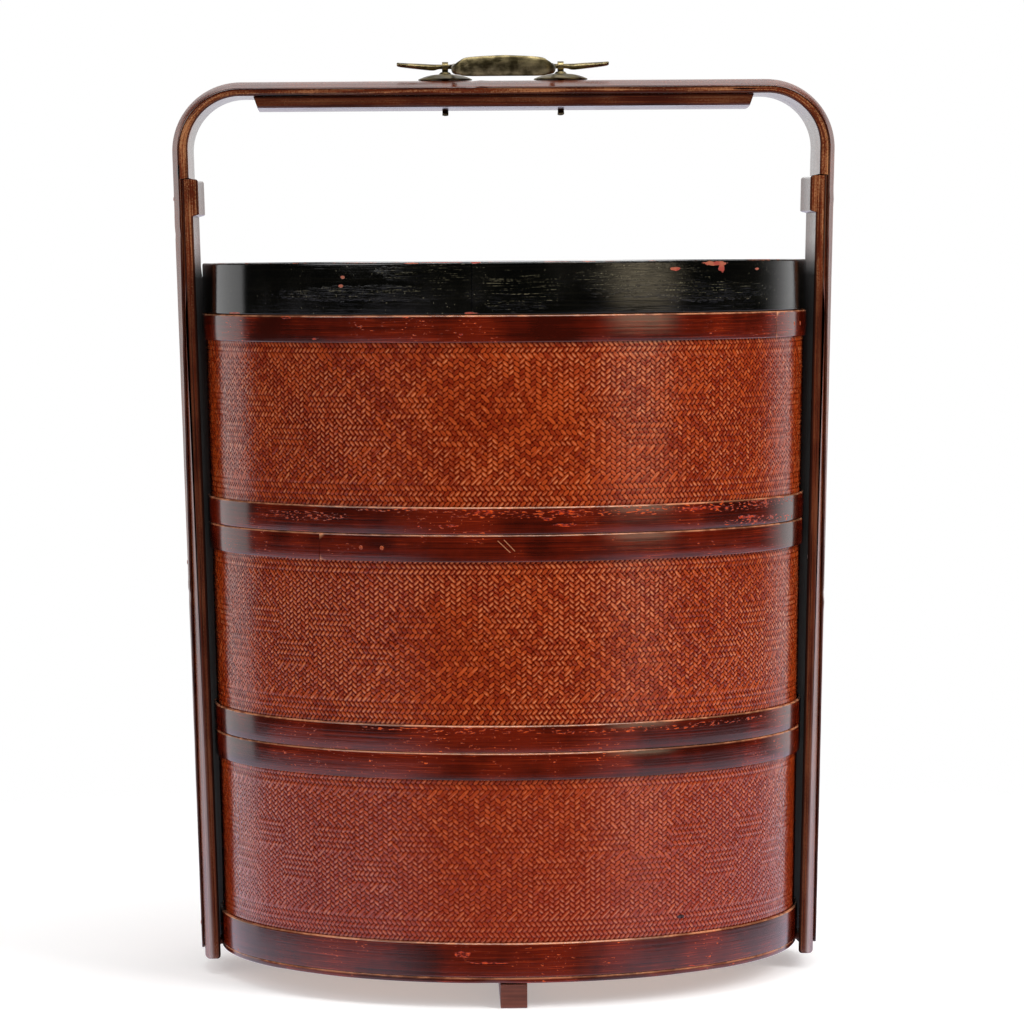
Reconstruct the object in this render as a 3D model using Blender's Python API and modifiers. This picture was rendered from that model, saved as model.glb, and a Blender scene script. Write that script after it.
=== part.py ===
"""Tiered bamboo food basket: three stacked woven tiers and a lid in a bent bamboo carrying frame.

Metres, +Z up. The origin is on the floor under the middle of the basket. The front, where the foot
rail's end shows and the brass handle lies folded, faces -Y. Azimuths are degrees from the front
towards +X.
"""
import math

import bmesh
import bpy
from mathutils import Matrix, Vector

# Clearances that every piece shares
GAP = 0.0003            # between pieces that touch
OVERRUN = 0.0050        # how far a cut runs past what it cuts
MERGE = 0.00001         # weld distance
RING_SEGMENTS = 48      # facets of a full turn
PEG_SEGMENTS = 8
SHARP_ANGLE = 32        # degrees between faces above which an edge stays sharp

# Body of the basket: it narrows evenly from the rim to the base
RIM_RADIUS = 0.2056     # outside of the uppermost hoop
BASE_RADIUS = 0.1972    # outside of the lowest hoop
BOTTOM_TIER_HEIGHT = 0.1455
TIER_HEIGHT = 0.1405    # middle and top tier
HOOP_HEIGHT = 0.0175
BASE_HOOP_HEIGHT = 0.0223
HOOP_THICK = 0.0018
HOOP_CHAMFER = 0.0004   # along its top edge
LAP_SEGMENTS = 3        # facets that a hoop's two ends share
SEAM_GAP = 0.0006       # open seam at the tip of a lap
FEATHER_SHARE = 0.33    # a hoop end's thickness at its tip, share of HOOP_THICK
# Azimuth of the seam of each tier's top hoop and low hoop, whole facets from the front
SEAMS = {"top": (60, -150), "middle": (-37.5, 120), "bottom": (142.5, -97.5)}
WALL_THICK = 0.0018     # woven skin
LINING_THICK = 0.0025
PEG_RADIUS = 0.0015
HOOP_PEG_SPACING = 0.0150

# Foot ring, floor and battens of each tier
LIP_DROP = 0.0045       # lip that hangs into the mouth below
LIP_CLEARANCE = 0.0015  # between a lip and the mouth it hangs in
FOOT_RING_WIDTH = 0.0080
FOOT_RING_RISE = 0.0060
FLOOR_THICK = 0.0030
BATTEN_WIDTH = 0.0140
BATTEN_THICK = 0.0035
BATTEN_BEVEL = 0.0006

# Lid
LID_INSET = 0.0006        # the band's face behind that of the hoop below
LID_HEIGHT = 0.0336
LID_BAND_THICK = 0.0030
LID_EDGE_ROUND = 0.0014
LID_LINING_THICK = 0.0025
LID_RING_RISE = 0.0060    # height of the thick foot of the lid's lining
LID_PANEL_THICK = 0.0040
LID_PANEL_CROWN = 0.0020  # the panel's middle above its edge
LID_PANEL_SINK = 0.0015   # the panel's edge below the band's top
LID_PANEL_STEPS = 3

# Rails under the basket
RAIL_HEIGHT = 0.0157
FOOT_RAIL_WIDTH = 0.0173
FOOT_RAIL_INSET = 0.0022  # its ends behind the face of the lowest hoop
SIDE_RAIL_WIDTH = 0.0220
SIDE_FOOT_INSET = 0.0472  # the ends of its deep part, which stands on the floor, behind the same
TENON_DEPTH = 0.0050      # how far the side rail enters each leg
TENON_TAPER = 0.0004      # how much thinner its ends are than their roots
RAIL_BEVEL = 0.0012

# Bail: a split bamboo strip, rounded outside, bent over the basket
BAIL_HEADROOM = 0.1224    # crown of the strip over the lid
BAIL_CLEAR_BASE = 0.0131  # crown of the strip outside the lowest hoop
BAIL_CLEAR_RIM = 0.0161   # the same outside the uppermost hoop
BAIL_BEND = 0.0470        # radius of the two bends, at the crown
STRIP_WIDTH = 0.0820
STRIP_CROWN = 0.0052      # rise of the rounded side over its edges
STRIP_CHAMFER = 0.0006
TOP_EDGE = 0.0055         # edge thickness over the top
SHOULDER_EDGE = 0.0072    # edge thickness above the heads of the legs
SKIN_THICK = 0.0020       # the shaved stretch down the outside of the legs
SKIN_END = 0.0145         # height of its lower end
SKIN_END_WIDTH = 0.0340
SKIN_TAPER_BELOW = 0.0120 # how far below the heads the skin is as wide as the strip
SHOULDER_SLOPE = 0.0006
SECTION_SHARES = (-1.0, -0.5, 0.0, 0.5, 1.0)  # points across a strip, of its half width
BEND_STEPS = 9
SKIN_STEPS = 3

# Legs: inner strips, each with a thick head under the shoulder
LEG_END = 0.0100          # height of the lower end
LEG_EDGE = 0.0038
LEG_STEPS = 2
HEAD_LENGTH = 0.0245
NECK = 0.0195             # from the top of a head up to the start of the bend
HEAD_EDGE = 0.0075
HEAD_ROUND = 0.0020
HEAD_UNDERCUT = 0.0006
LEG_PINS = 3              # from the lowest one to the middle of the head
LOW_PIN_HEIGHT = 0.0300
LEG_PIN_PROUD = 0.0004

# Splint under the top of the bail
SPLINT_INSET = 0.0096     # its ends from where the bends start
SPLINT_BEVEL = 0.0027     # how much shorter its lower side is, at each end
SPLINT_WIDTH = 0.0780
SPLINT_EDGE = 0.0076
SPLINT_CROWN = 0.0015

# Brass mounts
EYE_SPACING = 0.0784
PIVOT_RISE = 0.0095       # handle's axis over the crown of the bail
ROSETTE_RADIUS = 0.0182
ROSETTE_RISE = 0.0040
ROSETTE_RIM = 0.0008
ROSETTE_STEPS = 4
ROSETTE_SEGMENTS = 18
BOSS_RADIUS = 0.0044
BOSS_TOP_RADIUS = 0.0033
BOSS_RISE = 0.0015
PIN_STRIP_WIDTH = 0.0045  # the eye pins are folded from flat strip
PIN_STRIP_THICK = 0.0012
EYE_CLEARANCE = 0.0005    # between the handle's rod and the eye
TAIL_SPREAD = 0.0080
TAIL_DROOP = 0.0020
EYE_STEPS = 18

# Brass handle, folded forward
ROD_RADIUS = 0.0016
ARM_LENGTH = 0.0400       # axis to the middle of the grip
ARM_INSET = 0.0045        # arms from the eyes, towards the middle
ARM_HALF_HEIGHT = 0.0024
ARM_HALF_THICK = 0.0018
GRIP_HALF_HEIGHT = 0.0069
GRIP_HALF_THICK = 0.0015
GRIP_SINK = 0.0010        # middle of the grip below the axis
GRIP_BOW = 0.0030         # the grip's middle in front of its ends
HALF_BOW_SHARE = 0.75     # of the bow, reached halfway between an arm and the middle
HANDLE_CORNER = 0.0054    # how far the arms' corners reach along each side
WING_REACH = 0.0720       # tips of the flattened tails from the middle
WING_HALF_THICK = 0.0011
WING_HALF_WIDTH = 0.0045
WING_LIFT = 0.0010
HANDLE_SECTION_POINTS = 8
HANDLE_STEPS = 2

# Levels that follow
TIE_BOTTOM = RAIL_HEIGHT + GAP
BASE_Z = TIE_BOTTOM + LIP_DROP
RIM_Z = BASE_Z + BOTTOM_TIER_HEIGHT + 2 * TIER_HEIGHT
LID_RADIUS = RIM_RADIUS - LID_INSET
BAIL_TOP = RIM_Z + LID_HEIGHT + BAIL_HEADROOM
BEND_Z = BAIL_TOP - BAIL_BEND       # centre of the bends
HEAD_TOP = BEND_Z - NECK
HEAD_BOTTOM = HEAD_TOP - HEAD_LENGTH
SKIN_TAPER_TOP = HEAD_BOTTOM - SKIN_TAPER_BELOW
PIVOT_Z = BAIL_TOP + PIVOT_RISE
BAIL_INNER_TOP = BAIL_TOP - STRIP_CROWN - TOP_EDGE
SPLINT_BOTTOM = BAIL_INNER_TOP - GAP - SPLINT_EDGE
CLEAR_CHANGE = BAIL_CLEAR_RIM - BAIL_CLEAR_BASE
LEAN = math.atan2(RIM_RADIUS - BASE_RADIUS + CLEAR_CHANGE, RIM_Z - BASE_Z)
FACET = math.tau / RING_SEGMENTS
FACET_IN = math.cos(FACET / 2)      # a facet's middle, as a share of its radius
LEG_OUTSIDE = SKIN_THICK + GAP      # leg's rounded side below the bail's crown line

for item in list(bpy.data.objects):
    bpy.data.objects.remove(item, do_unlink=True)
PARTS = bpy.data.collections.new("tiered_food_basket")
CUTTERS = bpy.data.collections.new("cutters")
bpy.context.scene.collection.children.link(PARTS)
bpy.context.scene.collection.children.link(CUTTERS)


def material(name, colour, roughness, metallic=0.0):
    look = bpy.data.materials.new(name)
    look.use_nodes = True
    shader = look.node_tree.nodes["Principled BSDF"]
    shader.inputs["Base Color"].default_value = (*colour, 1.0)
    shader.inputs["Roughness"].default_value = roughness
    shader.inputs["Metallic"].default_value = metallic
    return look


BAMBOO = material("lacquered_bamboo", (0.115, 0.032, 0.012), 0.35)
HOOP = material("hoop_lacquer", (0.075, 0.012, 0.006), 0.28)
WEAVE = material("woven_splits", (0.26, 0.060, 0.024), 0.45)
INSIDE = material("plain_bamboo", (0.30, 0.155, 0.070), 0.6)
LACQUER = material("black_lacquer", (0.012, 0.010, 0.008), 0.18)
BRASS = material("old_brass", (0.24, 0.18, 0.080), 0.42, 1.0)
PEGS = material("peg_bamboo", (0.42, 0.17, 0.060), 0.5)


def empty(name, parent, location):
    """A bodiless frame that carries the pieces of one moving part."""
    item = bpy.data.objects.new(name, None)
    PARTS.objects.link(item)
    item.parent = parent
    item.location = location
    return item


def place(name, mesh, look, parent, cutter=False):
    item = bpy.data.objects.new(name, mesh)
    (CUTTERS if cutter else PARTS).objects.link(item)
    item.parent = parent
    if cutter:
        item.hide_render = True
        item.display_type = "WIRE"
    else:
        mesh.materials.append(look)
    return item


def finish(name, bm, look, parent, cutter=False):
    bmesh.ops.recalc_face_normals(bm, faces=bm.faces)
    mesh = bpy.data.meshes.new(name)
    bm.to_mesh(mesh)
    bm.free()
    mesh.shade_smooth()
    mesh.set_sharp_from_angle(angle=math.radians(SHARP_ANGLE))
    return place(name, mesh, look, parent, cutter)


def cut(item, cutter):
    hole = item.modifiers.new("cut_" + cutter.name, "BOOLEAN")
    hole.operation = "DIFFERENCE"
    hole.solver = "EXACT"
    hole.object = cutter


def loft(name, rings, look, parent):
    """A skin through closed rings of as many points each, capped at both ends."""
    bm = bmesh.new()
    rows = [[bm.verts.new(point) for point in ring] for ring in rings]
    count = len(rows[0])
    for near, far in zip(rows, rows[1:]):
        for i in range(count):
            j = (i + 1) % count
            bm.faces.new((near[i], near[j], far[j], far[i]))
    bm.faces.new(list(reversed(rows[0])))
    bm.faces.new(rows[-1])
    return finish(name, bm, look, parent)


def turned(name, profile, look, parent, closed=True, segments=RING_SEGMENTS):
    """A profile of (radius, height) points, run down its outer side first, turned about Z."""
    mesh = bpy.data.meshes.new(name)
    points = [(radius, 0.0, height) for radius, height in profile]
    edges = [(i, i + 1) for i in range(len(points) - 1)]
    if closed:
        edges.append((len(points) - 1, 0))
    mesh.from_pydata(points, edges, [])
    item = place(name, mesh, look, parent)
    spin = item.modifiers.new("turn", "SCREW")
    spin.axis = "Z"
    spin.angle = math.tau
    spin.steps = segments
    spin.render_steps = segments
    spin.use_merge_vertices = True
    spin.merge_threshold = MERGE
    return item


def box(name, low, high, look, parent, bevel=0.0, cutter=False):
    bm = bmesh.new()
    size = Vector(high) - Vector(low)
    middle = (Vector(high) + Vector(low)) / 2
    bmesh.ops.create_cube(bm, size=1.0, matrix=Matrix.Translation(middle) @ Matrix.Diagonal((*size, 1.0)))
    if bevel:
        bmesh.ops.bevel(bm, geom=bm.edges[:], offset=bevel, segments=1, affect="EDGES")
    return finish(name, bm, look, parent, cutter)


def rods(name, runs, radius, look, parent, cutter=False):
    """Straight round rods, one for each (start, end) run."""
    bm = bmesh.new()
    for start, end in runs:
        start, end = Vector(start), Vector(end)
        along = end - start
        turn = along.to_track_quat("Z", "Y").to_matrix().to_4x4()
        bmesh.ops.create_cone(bm, cap_ends=True, segments=PEG_SEGMENTS, radius1=radius, radius2=radius,
                              depth=along.length, matrix=Matrix.Translation((start + end) / 2) @ turn)
    return finish(name, bm, look, parent, cutter)


def pegged(name, runs, parent, targets):
    """A peg along each run, numbered from 1, and their holes through the target pieces."""
    longer = []
    for number, run in enumerate(runs, start=1):
        rods(f"{name}_{number}", [run], PEG_RADIUS, PEGS, parent)
    for start, end in runs:
        start, end = Vector(start), Vector(end)
        past = (end - start).normalized() * OVERRUN
        longer.append((start - past, end + past))
    holes = rods(name + "_holes", longer, PEG_RADIUS + GAP, None, parent, cutter=True)
    for target in targets:
        cut(target, holes)


def plate(name, outline, thickness, across_y, look, parent):
    """A flat outline, given as (sideways, up), made thick across Y or across X."""
    curve = bpy.data.curves.new(name + "_outline", "CURVE")
    curve.dimensions = "2D"
    curve.fill_mode = "BOTH"
    curve.extrude = thickness / 2
    spline = curve.splines.new("POLY")
    spline.points.add(len(outline) - 1)
    for point, (sideways, up) in zip(spline.points, outline):
        point.co = (sideways, up, 0.0, 1.0)
    spline.use_cyclic_u = True
    guide = bpy.data.objects.new(name + "_guide", curve)
    CUTTERS.objects.link(guide)
    guide.rotation_euler = (math.pi / 2, 0.0, 0.0 if across_y else math.pi / 2)
    bpy.context.view_layer.update()
    evaluated = guide.evaluated_get(bpy.context.evaluated_depsgraph_get())
    mesh = bpy.data.meshes.new_from_object(evaluated)
    mesh.transform(guide.matrix_world)
    bpy.data.objects.remove(guide, do_unlink=True)
    bm = bmesh.new()
    bm.from_mesh(mesh)
    bpy.data.meshes.remove(mesh)
    bmesh.ops.remove_doubles(bm, verts=bm.verts, dist=MERGE)
    return finish(name, bm, look, parent)


def body_radius(height):
    """Outside of the hoops at a height over the floor."""
    share = (height - BASE_Z) / (RIM_Z - BASE_Z)
    return BASE_RADIUS + (RIM_RADIUS - BASE_RADIUS) * share


def wall_radius(height):
    return body_radius(height) - HOOP_THICK - GAP


def lining_radius(height):
    return wall_radius(height) - WALL_THICK - GAP


def mouth_radius(height):
    return lining_radius(height) - LINING_THICK


def lapped_hoop(name, level, bottom, top, seam_azimuth, parent):
    """One strip bent round once. Its ends are shaved thin and lie one over the other, a gap apart.

    The outer end's tip, the seam that shows, is at seam_azimuth and the lap lies to its right.
    """
    feather = HOOP_THICK * FEATHER_SHARE
    under = HOOP_THICK - feather - GAP
    seam = SEAM_GAP / body_radius(level)
    stations = []
    for k in range(LAP_SEGMENTS + 1):
        ply = feather + (under - feather) * k / LAP_SEGMENTS
        stations.append((k * FACET, HOOP_THICK - ply, 0.0))
    stations.append((LAP_SEGMENTS * FACET + seam, 0.0, 0.0))
    stations += [(k * FACET, 0.0, 0.0) for k in range(LAP_SEGMENTS + 1, RING_SEGMENTS)]
    stations.append((math.tau - seam, 0.0, 0.0))
    for k in range(LAP_SEGMENTS + 1):
        ply = under - (under - feather) * k / LAP_SEGMENTS
        stations.append((math.tau + k * FACET, 0.0, HOOP_THICK - ply))
    lap_end = math.radians(seam_azimuth) + LAP_SEGMENTS * FACET
    rings = []
    for angle, drop, rise in stations:
        def outer(height):
            return body_radius(level + height) - drop

        def inner(height):
            return body_radius(level + height) - HOOP_THICK + rise

        section = [(outer(top) - HOOP_CHAMFER, top), (outer(top), top - HOOP_CHAMFER),
                   (outer(bottom), bottom), (inner(bottom), bottom), (inner(top), top)]
        around = lap_end - angle
        rings.append([(radius * math.sin(around), -radius * math.cos(around), height)
                      for radius, height in section])
    return loft(name, rings, HOOP, parent)


def hoop_peg_runs(level, height, seam_azimuth):
    """Two pegs side by side, square through the middle facet of the lap and the wall and lining behind."""
    around = math.radians(seam_azimuth) + FACET * LAP_SEGMENTS / 2
    outward = Vector((math.sin(around), -math.cos(around), 0.0))
    aside = Vector((math.cos(around), math.sin(around), 0.0))
    outer = outward * (body_radius(level + height) * FACET_IN)
    inner = outward * (mouth_radius(level + height) * FACET_IN)
    up = Vector((0.0, 0.0, height))
    shifts = [aside * (way * HOOP_PEG_SPACING / 2) + up for way in (-1, 1)]
    return [(outer + shift, inner + shift) for shift in shifts]


def batten(name, reach, top, parent):
    """A batten along X through the middle, as long as fits inside the radius."""
    half = math.sqrt((reach * FACET_IN) ** 2 - (BATTEN_WIDTH / 2) ** 2) - GAP
    return box(name, (-half, -BATTEN_WIDTH / 2, top - BATTEN_THICK), (half, BATTEN_WIDTH / 2, top),
               INSIDE, parent, BATTEN_BEVEL)


def tier(name, parent, offset, level, height, low_hoop_name, low_hoop_height):
    """One tier. Heights inside it count from its own underside, which is at level over the floor."""
    carrier = empty(name, parent, (0.0, 0.0, offset))
    top_seam, low_seam = SEAMS[name]
    top = height - GAP
    wall = turned(name + "_woven_wall", [
        (wall_radius(level + top), top), (wall_radius(level), 0.0),
        (wall_radius(level) - WALL_THICK, 0.0), (wall_radius(level + top) - WALL_THICK, top)],
        WEAVE, carrier)
    lining = turned(name + "_lining", [
        (lining_radius(level + top), top), (lining_radius(level), 0.0),
        (mouth_radius(level), 0.0), (mouth_radius(level + top), top)], INSIDE, carrier)
    for hoop, bottom, hoop_top, seam in (
            ("top_hoop", top - HOOP_HEIGHT, top, top_seam), (low_hoop_name, 0.0, low_hoop_height, low_seam)):
        strip = lapped_hoop(name + "_" + hoop, level, bottom, hoop_top, seam, carrier)
        runs = hoop_peg_runs(level, (bottom + hoop_top) / 2, seam)
        pegged(strip.name + "_peg", runs, carrier, (wall, lining, strip))

    floor_bottom = FOOT_RING_RISE + GAP
    floor_top = floor_bottom + FLOOR_THICK
    mouth = min(mouth_radius(level), mouth_radius(level + floor_top))
    seat, lip = mouth - GAP, mouth - LIP_CLEARANCE
    inside = lip - FOOT_RING_WIDTH
    ring = turned(name + "_foot_ring", [
        (seat, FOOT_RING_RISE), (seat, 0.0), (lip, -LIP_DROP), (inside, -LIP_DROP),
        (inside, FOOT_RING_RISE)], INSIDE, carrier)
    turned(name + "_floor_panel", [
        (0.0, floor_top), (seat, floor_top), (seat, floor_bottom), (0.0, floor_bottom)],
        INSIDE, carrier, closed=False)
    batten(name + "_floor_batten", inside, FOOT_RING_RISE, carrier)
    return carrier, ring


def strip_ring(point, normal, half_width, outer_at, inner_at):
    """Section of a strip that runs in the XZ plane: (point, normal) is its crown line and outward side."""
    flat = half_width - STRIP_CHAMFER
    across = [-half_width, *(flat * share for share in SECTION_SHARES), half_width]
    outer_side, inner_side = [], []
    for y in across:
        eased = STRIP_CHAMFER if abs(y) == half_width else 0.0
        out = point - normal * (outer_at(y) + eased)
        into = point - normal * (inner_at(y) - eased)
        outer_side.append((out.x, y, out.z))
        inner_side.append((into.x, y, into.z))
    return outer_side + inner_side[::-1]


def crown_drop(y):
    """How far the rounded side of the split bamboo lies below its crown, y from the middle."""
    return STRIP_CROWN * (y / (STRIP_WIDTH / 2)) ** 2


def leg_point(height):
    """Crown line of the bail along a leg, on the +X side."""
    share = (height - BASE_Z) / (RIM_Z - BASE_Z)
    return Vector((body_radius(height) + BAIL_CLEAR_BASE + CLEAR_CHANGE * share, 0.0, height))


def bend_centre():
    """Centre of the bend on the +X side."""
    return Vector((leg_point(BEND_Z).x - BAIL_BEND / math.cos(LEAN), 0.0, BEND_Z))


LEG_NORMAL = Vector((math.cos(LEAN), 0.0, -math.sin(LEAN)))


def mirrored(ring):
    return [(-x, y, z) for x, y, z in ring]


def bail_strip(parent):
    """The bent strip: a thin skin up each leg, a shoulder, and a thick stretch over the bends and top."""
    rings = []

    def skin_ring(height):
        share = min(1.0, (height - SKIN_END) / (SKIN_TAPER_TOP - SKIN_END))
        width = SKIN_END_WIDTH + (STRIP_WIDTH - SKIN_END_WIDTH) * share
        return strip_ring(leg_point(height), LEG_NORMAL, width / 2, crown_drop,
                          lambda y: crown_drop(y) + SKIN_THICK)

    def thick_ring(point, normal, edge):
        return strip_ring(point, normal, STRIP_WIDTH / 2, crown_drop, lambda y: STRIP_CROWN + edge)

    shoulder = HEAD_TOP + GAP
    for k in range(SKIN_STEPS + 1):
        rings.append(skin_ring(SKIN_END + (SKIN_TAPER_TOP - SKIN_END) * k / SKIN_STEPS))
    rings.append(skin_ring(shoulder))
    rings.append(thick_ring(leg_point(shoulder + SHOULDER_SLOPE), LEG_NORMAL, SHOULDER_EDGE))
    for k in range(BEND_STEPS + 1):
        share = k / BEND_STEPS
        angle = -LEAN + (math.pi / 2 + LEAN) * share
        normal = Vector((math.cos(angle), 0.0, math.sin(angle)))
        edge = SHOULDER_EDGE + (TOP_EDGE - SHOULDER_EDGE) * share
        rings.append(thick_ring(bend_centre() + normal * BAIL_BEND, normal, edge))
    rings += [mirrored(ring) for ring in reversed(rings)]
    return loft("bail_strip", rings, BAMBOO, parent)


def leg_strip(name, side, parent):
    """Inner strip of a leg: rounded outside, flat inside, with a thick undercut head."""
    stations = [(LEG_END + (HEAD_BOTTOM - LEG_END) * k / LEG_STEPS, LEG_EDGE) for k in range(LEG_STEPS + 1)]
    stations += [(HEAD_BOTTOM + HEAD_UNDERCUT, HEAD_EDGE), (HEAD_TOP - HEAD_ROUND, HEAD_EDGE),
                 (HEAD_TOP, HEAD_EDGE - HEAD_ROUND)]
    rings = []
    for height, edge in stations:
        ring = strip_ring(leg_point(height), LEG_NORMAL, STRIP_WIDTH / 2,
                          lambda y: LEG_OUTSIDE + crown_drop(y),
                          lambda y: LEG_OUTSIDE + STRIP_CROWN + edge)
        rings.append(ring if side > 0 else mirrored(ring))
    return loft(name, rings, BAMBOO, parent)


def leg_face(height, edge):
    """Inner face of a leg strip from the middle, at a height."""
    return leg_point(height).x - (LEG_OUTSIDE + STRIP_CROWN + edge) / math.cos(LEAN)


def frame_of_bamboo(root):
    """Bail, splint, legs and the pegs that join them."""
    bail = bail_strip(root)
    legs = {}
    for name, side in (("left", -1), ("right", 1)):
        leg = leg_strip(name + "_leg", side, root)
        legs[side] = leg
        runs = []
        for k in range(LEG_PINS):
            height = LOW_PIN_HEIGHT + (HEAD_TOP - HEAD_LENGTH / 2 - LOW_PIN_HEIGHT) * k / (LEG_PINS - 1)
            edge = HEAD_EDGE if height > HEAD_BOTTOM else LEG_EDGE
            runs.append(((side * (leg_point(height).x + LEG_PIN_PROUD), 0.0, height),
                         (side * leg_face(height, edge), 0.0, height)))
        pegged(name + "_leg_pin", runs, root, (bail, leg))

    half_top = bend_centre().x - SPLINT_INSET
    half_low = half_top - SPLINT_BEVEL
    rings = []
    for top_x, low_x in ((half_top, half_low), (-half_top, -half_low)):
        ring = strip_ring(Vector((0.0, 0.0, BAIL_INNER_TOP - GAP)), Vector((0.0, 0.0, 1.0)),
                          SPLINT_WIDTH / 2, lambda y: 0.0,
                          lambda y: SPLINT_EDGE + SPLINT_CROWN * (1 - (y / (SPLINT_WIDTH / 2)) ** 2))
        half = len(ring) // 2
        rings.append([(top_x if i < half else low_x, y, z) for i, (x, y, z) in enumerate(ring)])
    splint = loft("bail_splint", rings, BAMBOO, root)
    return bail, splint, legs


def rails(root, legs):
    """The cross that the basket stands on. The side rail's thin ends are tenoned into the legs."""
    lap = RAIL_HEIGHT / 2
    foot, side = BASE_RADIUS - FOOT_RAIL_INSET, BASE_RADIUS - SIDE_FOOT_INSET
    notch = SIDE_RAIL_WIDTH / 2 + GAP
    foot_rail = plate("foot_rail", [
        (-foot, RAIL_BEVEL), (-foot + RAIL_BEVEL, 0.0), (foot - RAIL_BEVEL, 0.0), (foot, RAIL_BEVEL),
        (foot, RAIL_HEIGHT), (notch, RAIL_HEIGHT), (notch, lap), (-notch, lap), (-notch, RAIL_HEIGHT),
        (-foot, RAIL_HEIGHT)], FOOT_RAIL_WIDTH, False, INSIDE, root)
    tie_top = BASE_Z - GAP
    end_bottom = TIE_BOTTOM + TENON_TAPER
    reach = leg_face(TIE_BOTTOM, LEG_EDGE) + TENON_DEPTH
    gap = FOOT_RAIL_WIDTH / 2 + GAP
    side_rail = plate("side_rail", [
        (-reach, end_bottom), (-side, TIE_BOTTOM), (-side, RAIL_BEVEL), (-side + RAIL_BEVEL, 0.0),
        (-gap, 0.0), (-gap, lap + GAP), (gap, lap + GAP), (gap, 0.0), (side - RAIL_BEVEL, 0.0),
        (side, RAIL_BEVEL), (side, TIE_BOTTOM), (reach, end_bottom), (reach, tie_top), (-reach, tie_top)],
        SIDE_RAIL_WIDTH, True, INSIDE, root)
    half = SIDE_RAIL_WIDTH / 2 + GAP
    for way, leg in legs.items():
        ends = sorted((way * (reach - TENON_DEPTH - OVERRUN), way * (reach + GAP)))
        mortise = box(leg.name + "_mortise", (ends[0], -half, TIE_BOTTOM), (ends[1], half, BASE_Z),
                      None, root, cutter=True)
        cut(leg, mortise)
    across = reach - TENON_DEPTH / 2
    runs = [((0.0, 0.0, tie_top), (0.0, 0.0, LEG_END))]
    runs += [((way * across, 0.0, tie_top + PEG_RADIUS), (way * across, 0.0, LEG_END + GAP))
             for way in (-1, 1)]
    pegged("rail_peg", runs, root, (foot_rail, side_rail, *legs.values()))


def mitred(path, offset):
    """The path moved sideways by offset, with mitred corners."""
    moved = []
    for i, point in enumerate(path):
        before = (point - path[i - 1]).normalized() if i else (path[1] - point).normalized()
        after = (path[i + 1] - point).normalized() if i < len(path) - 1 else before
        normal = Vector((-(before.y + after.y), before.x + after.x)).normalized()
        stretch = normal.dot(Vector((-before.y, before.x)))
        moved.append(point + normal * (offset / stretch))
    return moved


def eye_pin(name, x, root):
    """A strip folded into an eye, its two ends side by side down a hole and spread below the splint."""
    eye = ROD_RADIUS + EYE_CLEARANCE + PIN_STRIP_THICK / 2
    apart = (PIN_STRIP_THICK + GAP) / 2
    opening = math.asin(apart / eye)
    tail_z = SPLINT_BOTTOM - SPLINT_CROWN - GAP - PIN_STRIP_THICK / 2
    half = [Vector((-TAIL_SPREAD, tail_z - TAIL_DROOP)), Vector((-apart, tail_z))]
    start, end = -math.pi / 2 - opening, -3 * math.pi / 2
    for k in range(EYE_STEPS // 2 + 1):
        angle = start + (end - start) * k / (EYE_STEPS // 2)
        half.append(Vector((eye * math.cos(angle), PIVOT_Z + eye * math.sin(angle))))
    path = half + [Vector((-point.x, point.y)) for point in reversed(half[:-1])]
    thick = PIN_STRIP_THICK / 2
    outline = mitred(path, thick) + mitred(path, -thick)[::-1]
    pin = plate(name, [(point.x, point.y) for point in outline], PIN_STRIP_WIDTH, False, BRASS, root)
    pin.location.x = x
    return pin


def brass_mounts(root, bail, splint):
    hole = math.hypot(PIN_STRIP_WIDTH, 2 * PIN_STRIP_THICK + GAP) / 2 + GAP
    for name, side in (("left", -1), ("right", 1)):
        x = side * EYE_SPACING / 2
        eye_pin(name + "_eye_pin", x, root)
        dome = []
        for k in range(1, ROSETTE_STEPS + 1):
            share = k / ROSETTE_STEPS
            dome.append((BOSS_RADIUS + (ROSETTE_RADIUS - BOSS_RADIUS) * share,
                         ROSETTE_RIM + (ROSETTE_RISE - ROSETTE_RIM) * (1 - share ** 2)))
        rosette = turned(name + "_rosette", [
            (hole, ROSETTE_RISE + BOSS_RISE), (BOSS_TOP_RADIUS, ROSETTE_RISE + BOSS_RISE),
            (BOSS_RADIUS, ROSETTE_RISE), *dome, (ROSETTE_RADIUS, 0.0), (hole, 0.0)],
            BRASS, root, segments=ROSETTE_SEGMENTS)
        rosette.location = (x, 0.0, BAIL_TOP + GAP)
        drill = rods(name + "_pin_hole", [((x, 0.0, PIVOT_Z), (x, 0.0, SPLINT_BOTTOM - OVERRUN))],
                     hole, None, root, cutter=True)
        cut(bail, drill)
        cut(splint, drill)


def smoothed(stations, steps):
    """Catmull-Rom curve through the stations, which may hold any count of values."""
    dense = []
    for i in range(len(stations) - 1):
        p1, p2 = stations[i], stations[i + 1]
        p0 = stations[max(i - 1, 0)]
        p3 = stations[min(i + 2, len(stations) - 1)]
        for k in range(steps):
            t = k / steps
            dense.append([0.5 * (2 * b + (c - a) * t + (2 * a - 5 * b + 4 * c - d) * t ** 2
                                 + (3 * b - a - 3 * c + d) * t ** 3)
                          for a, b, c, d in zip(p0, p1, p2, p3)])
    dense.append(list(stations[-1]))
    return dense


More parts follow.
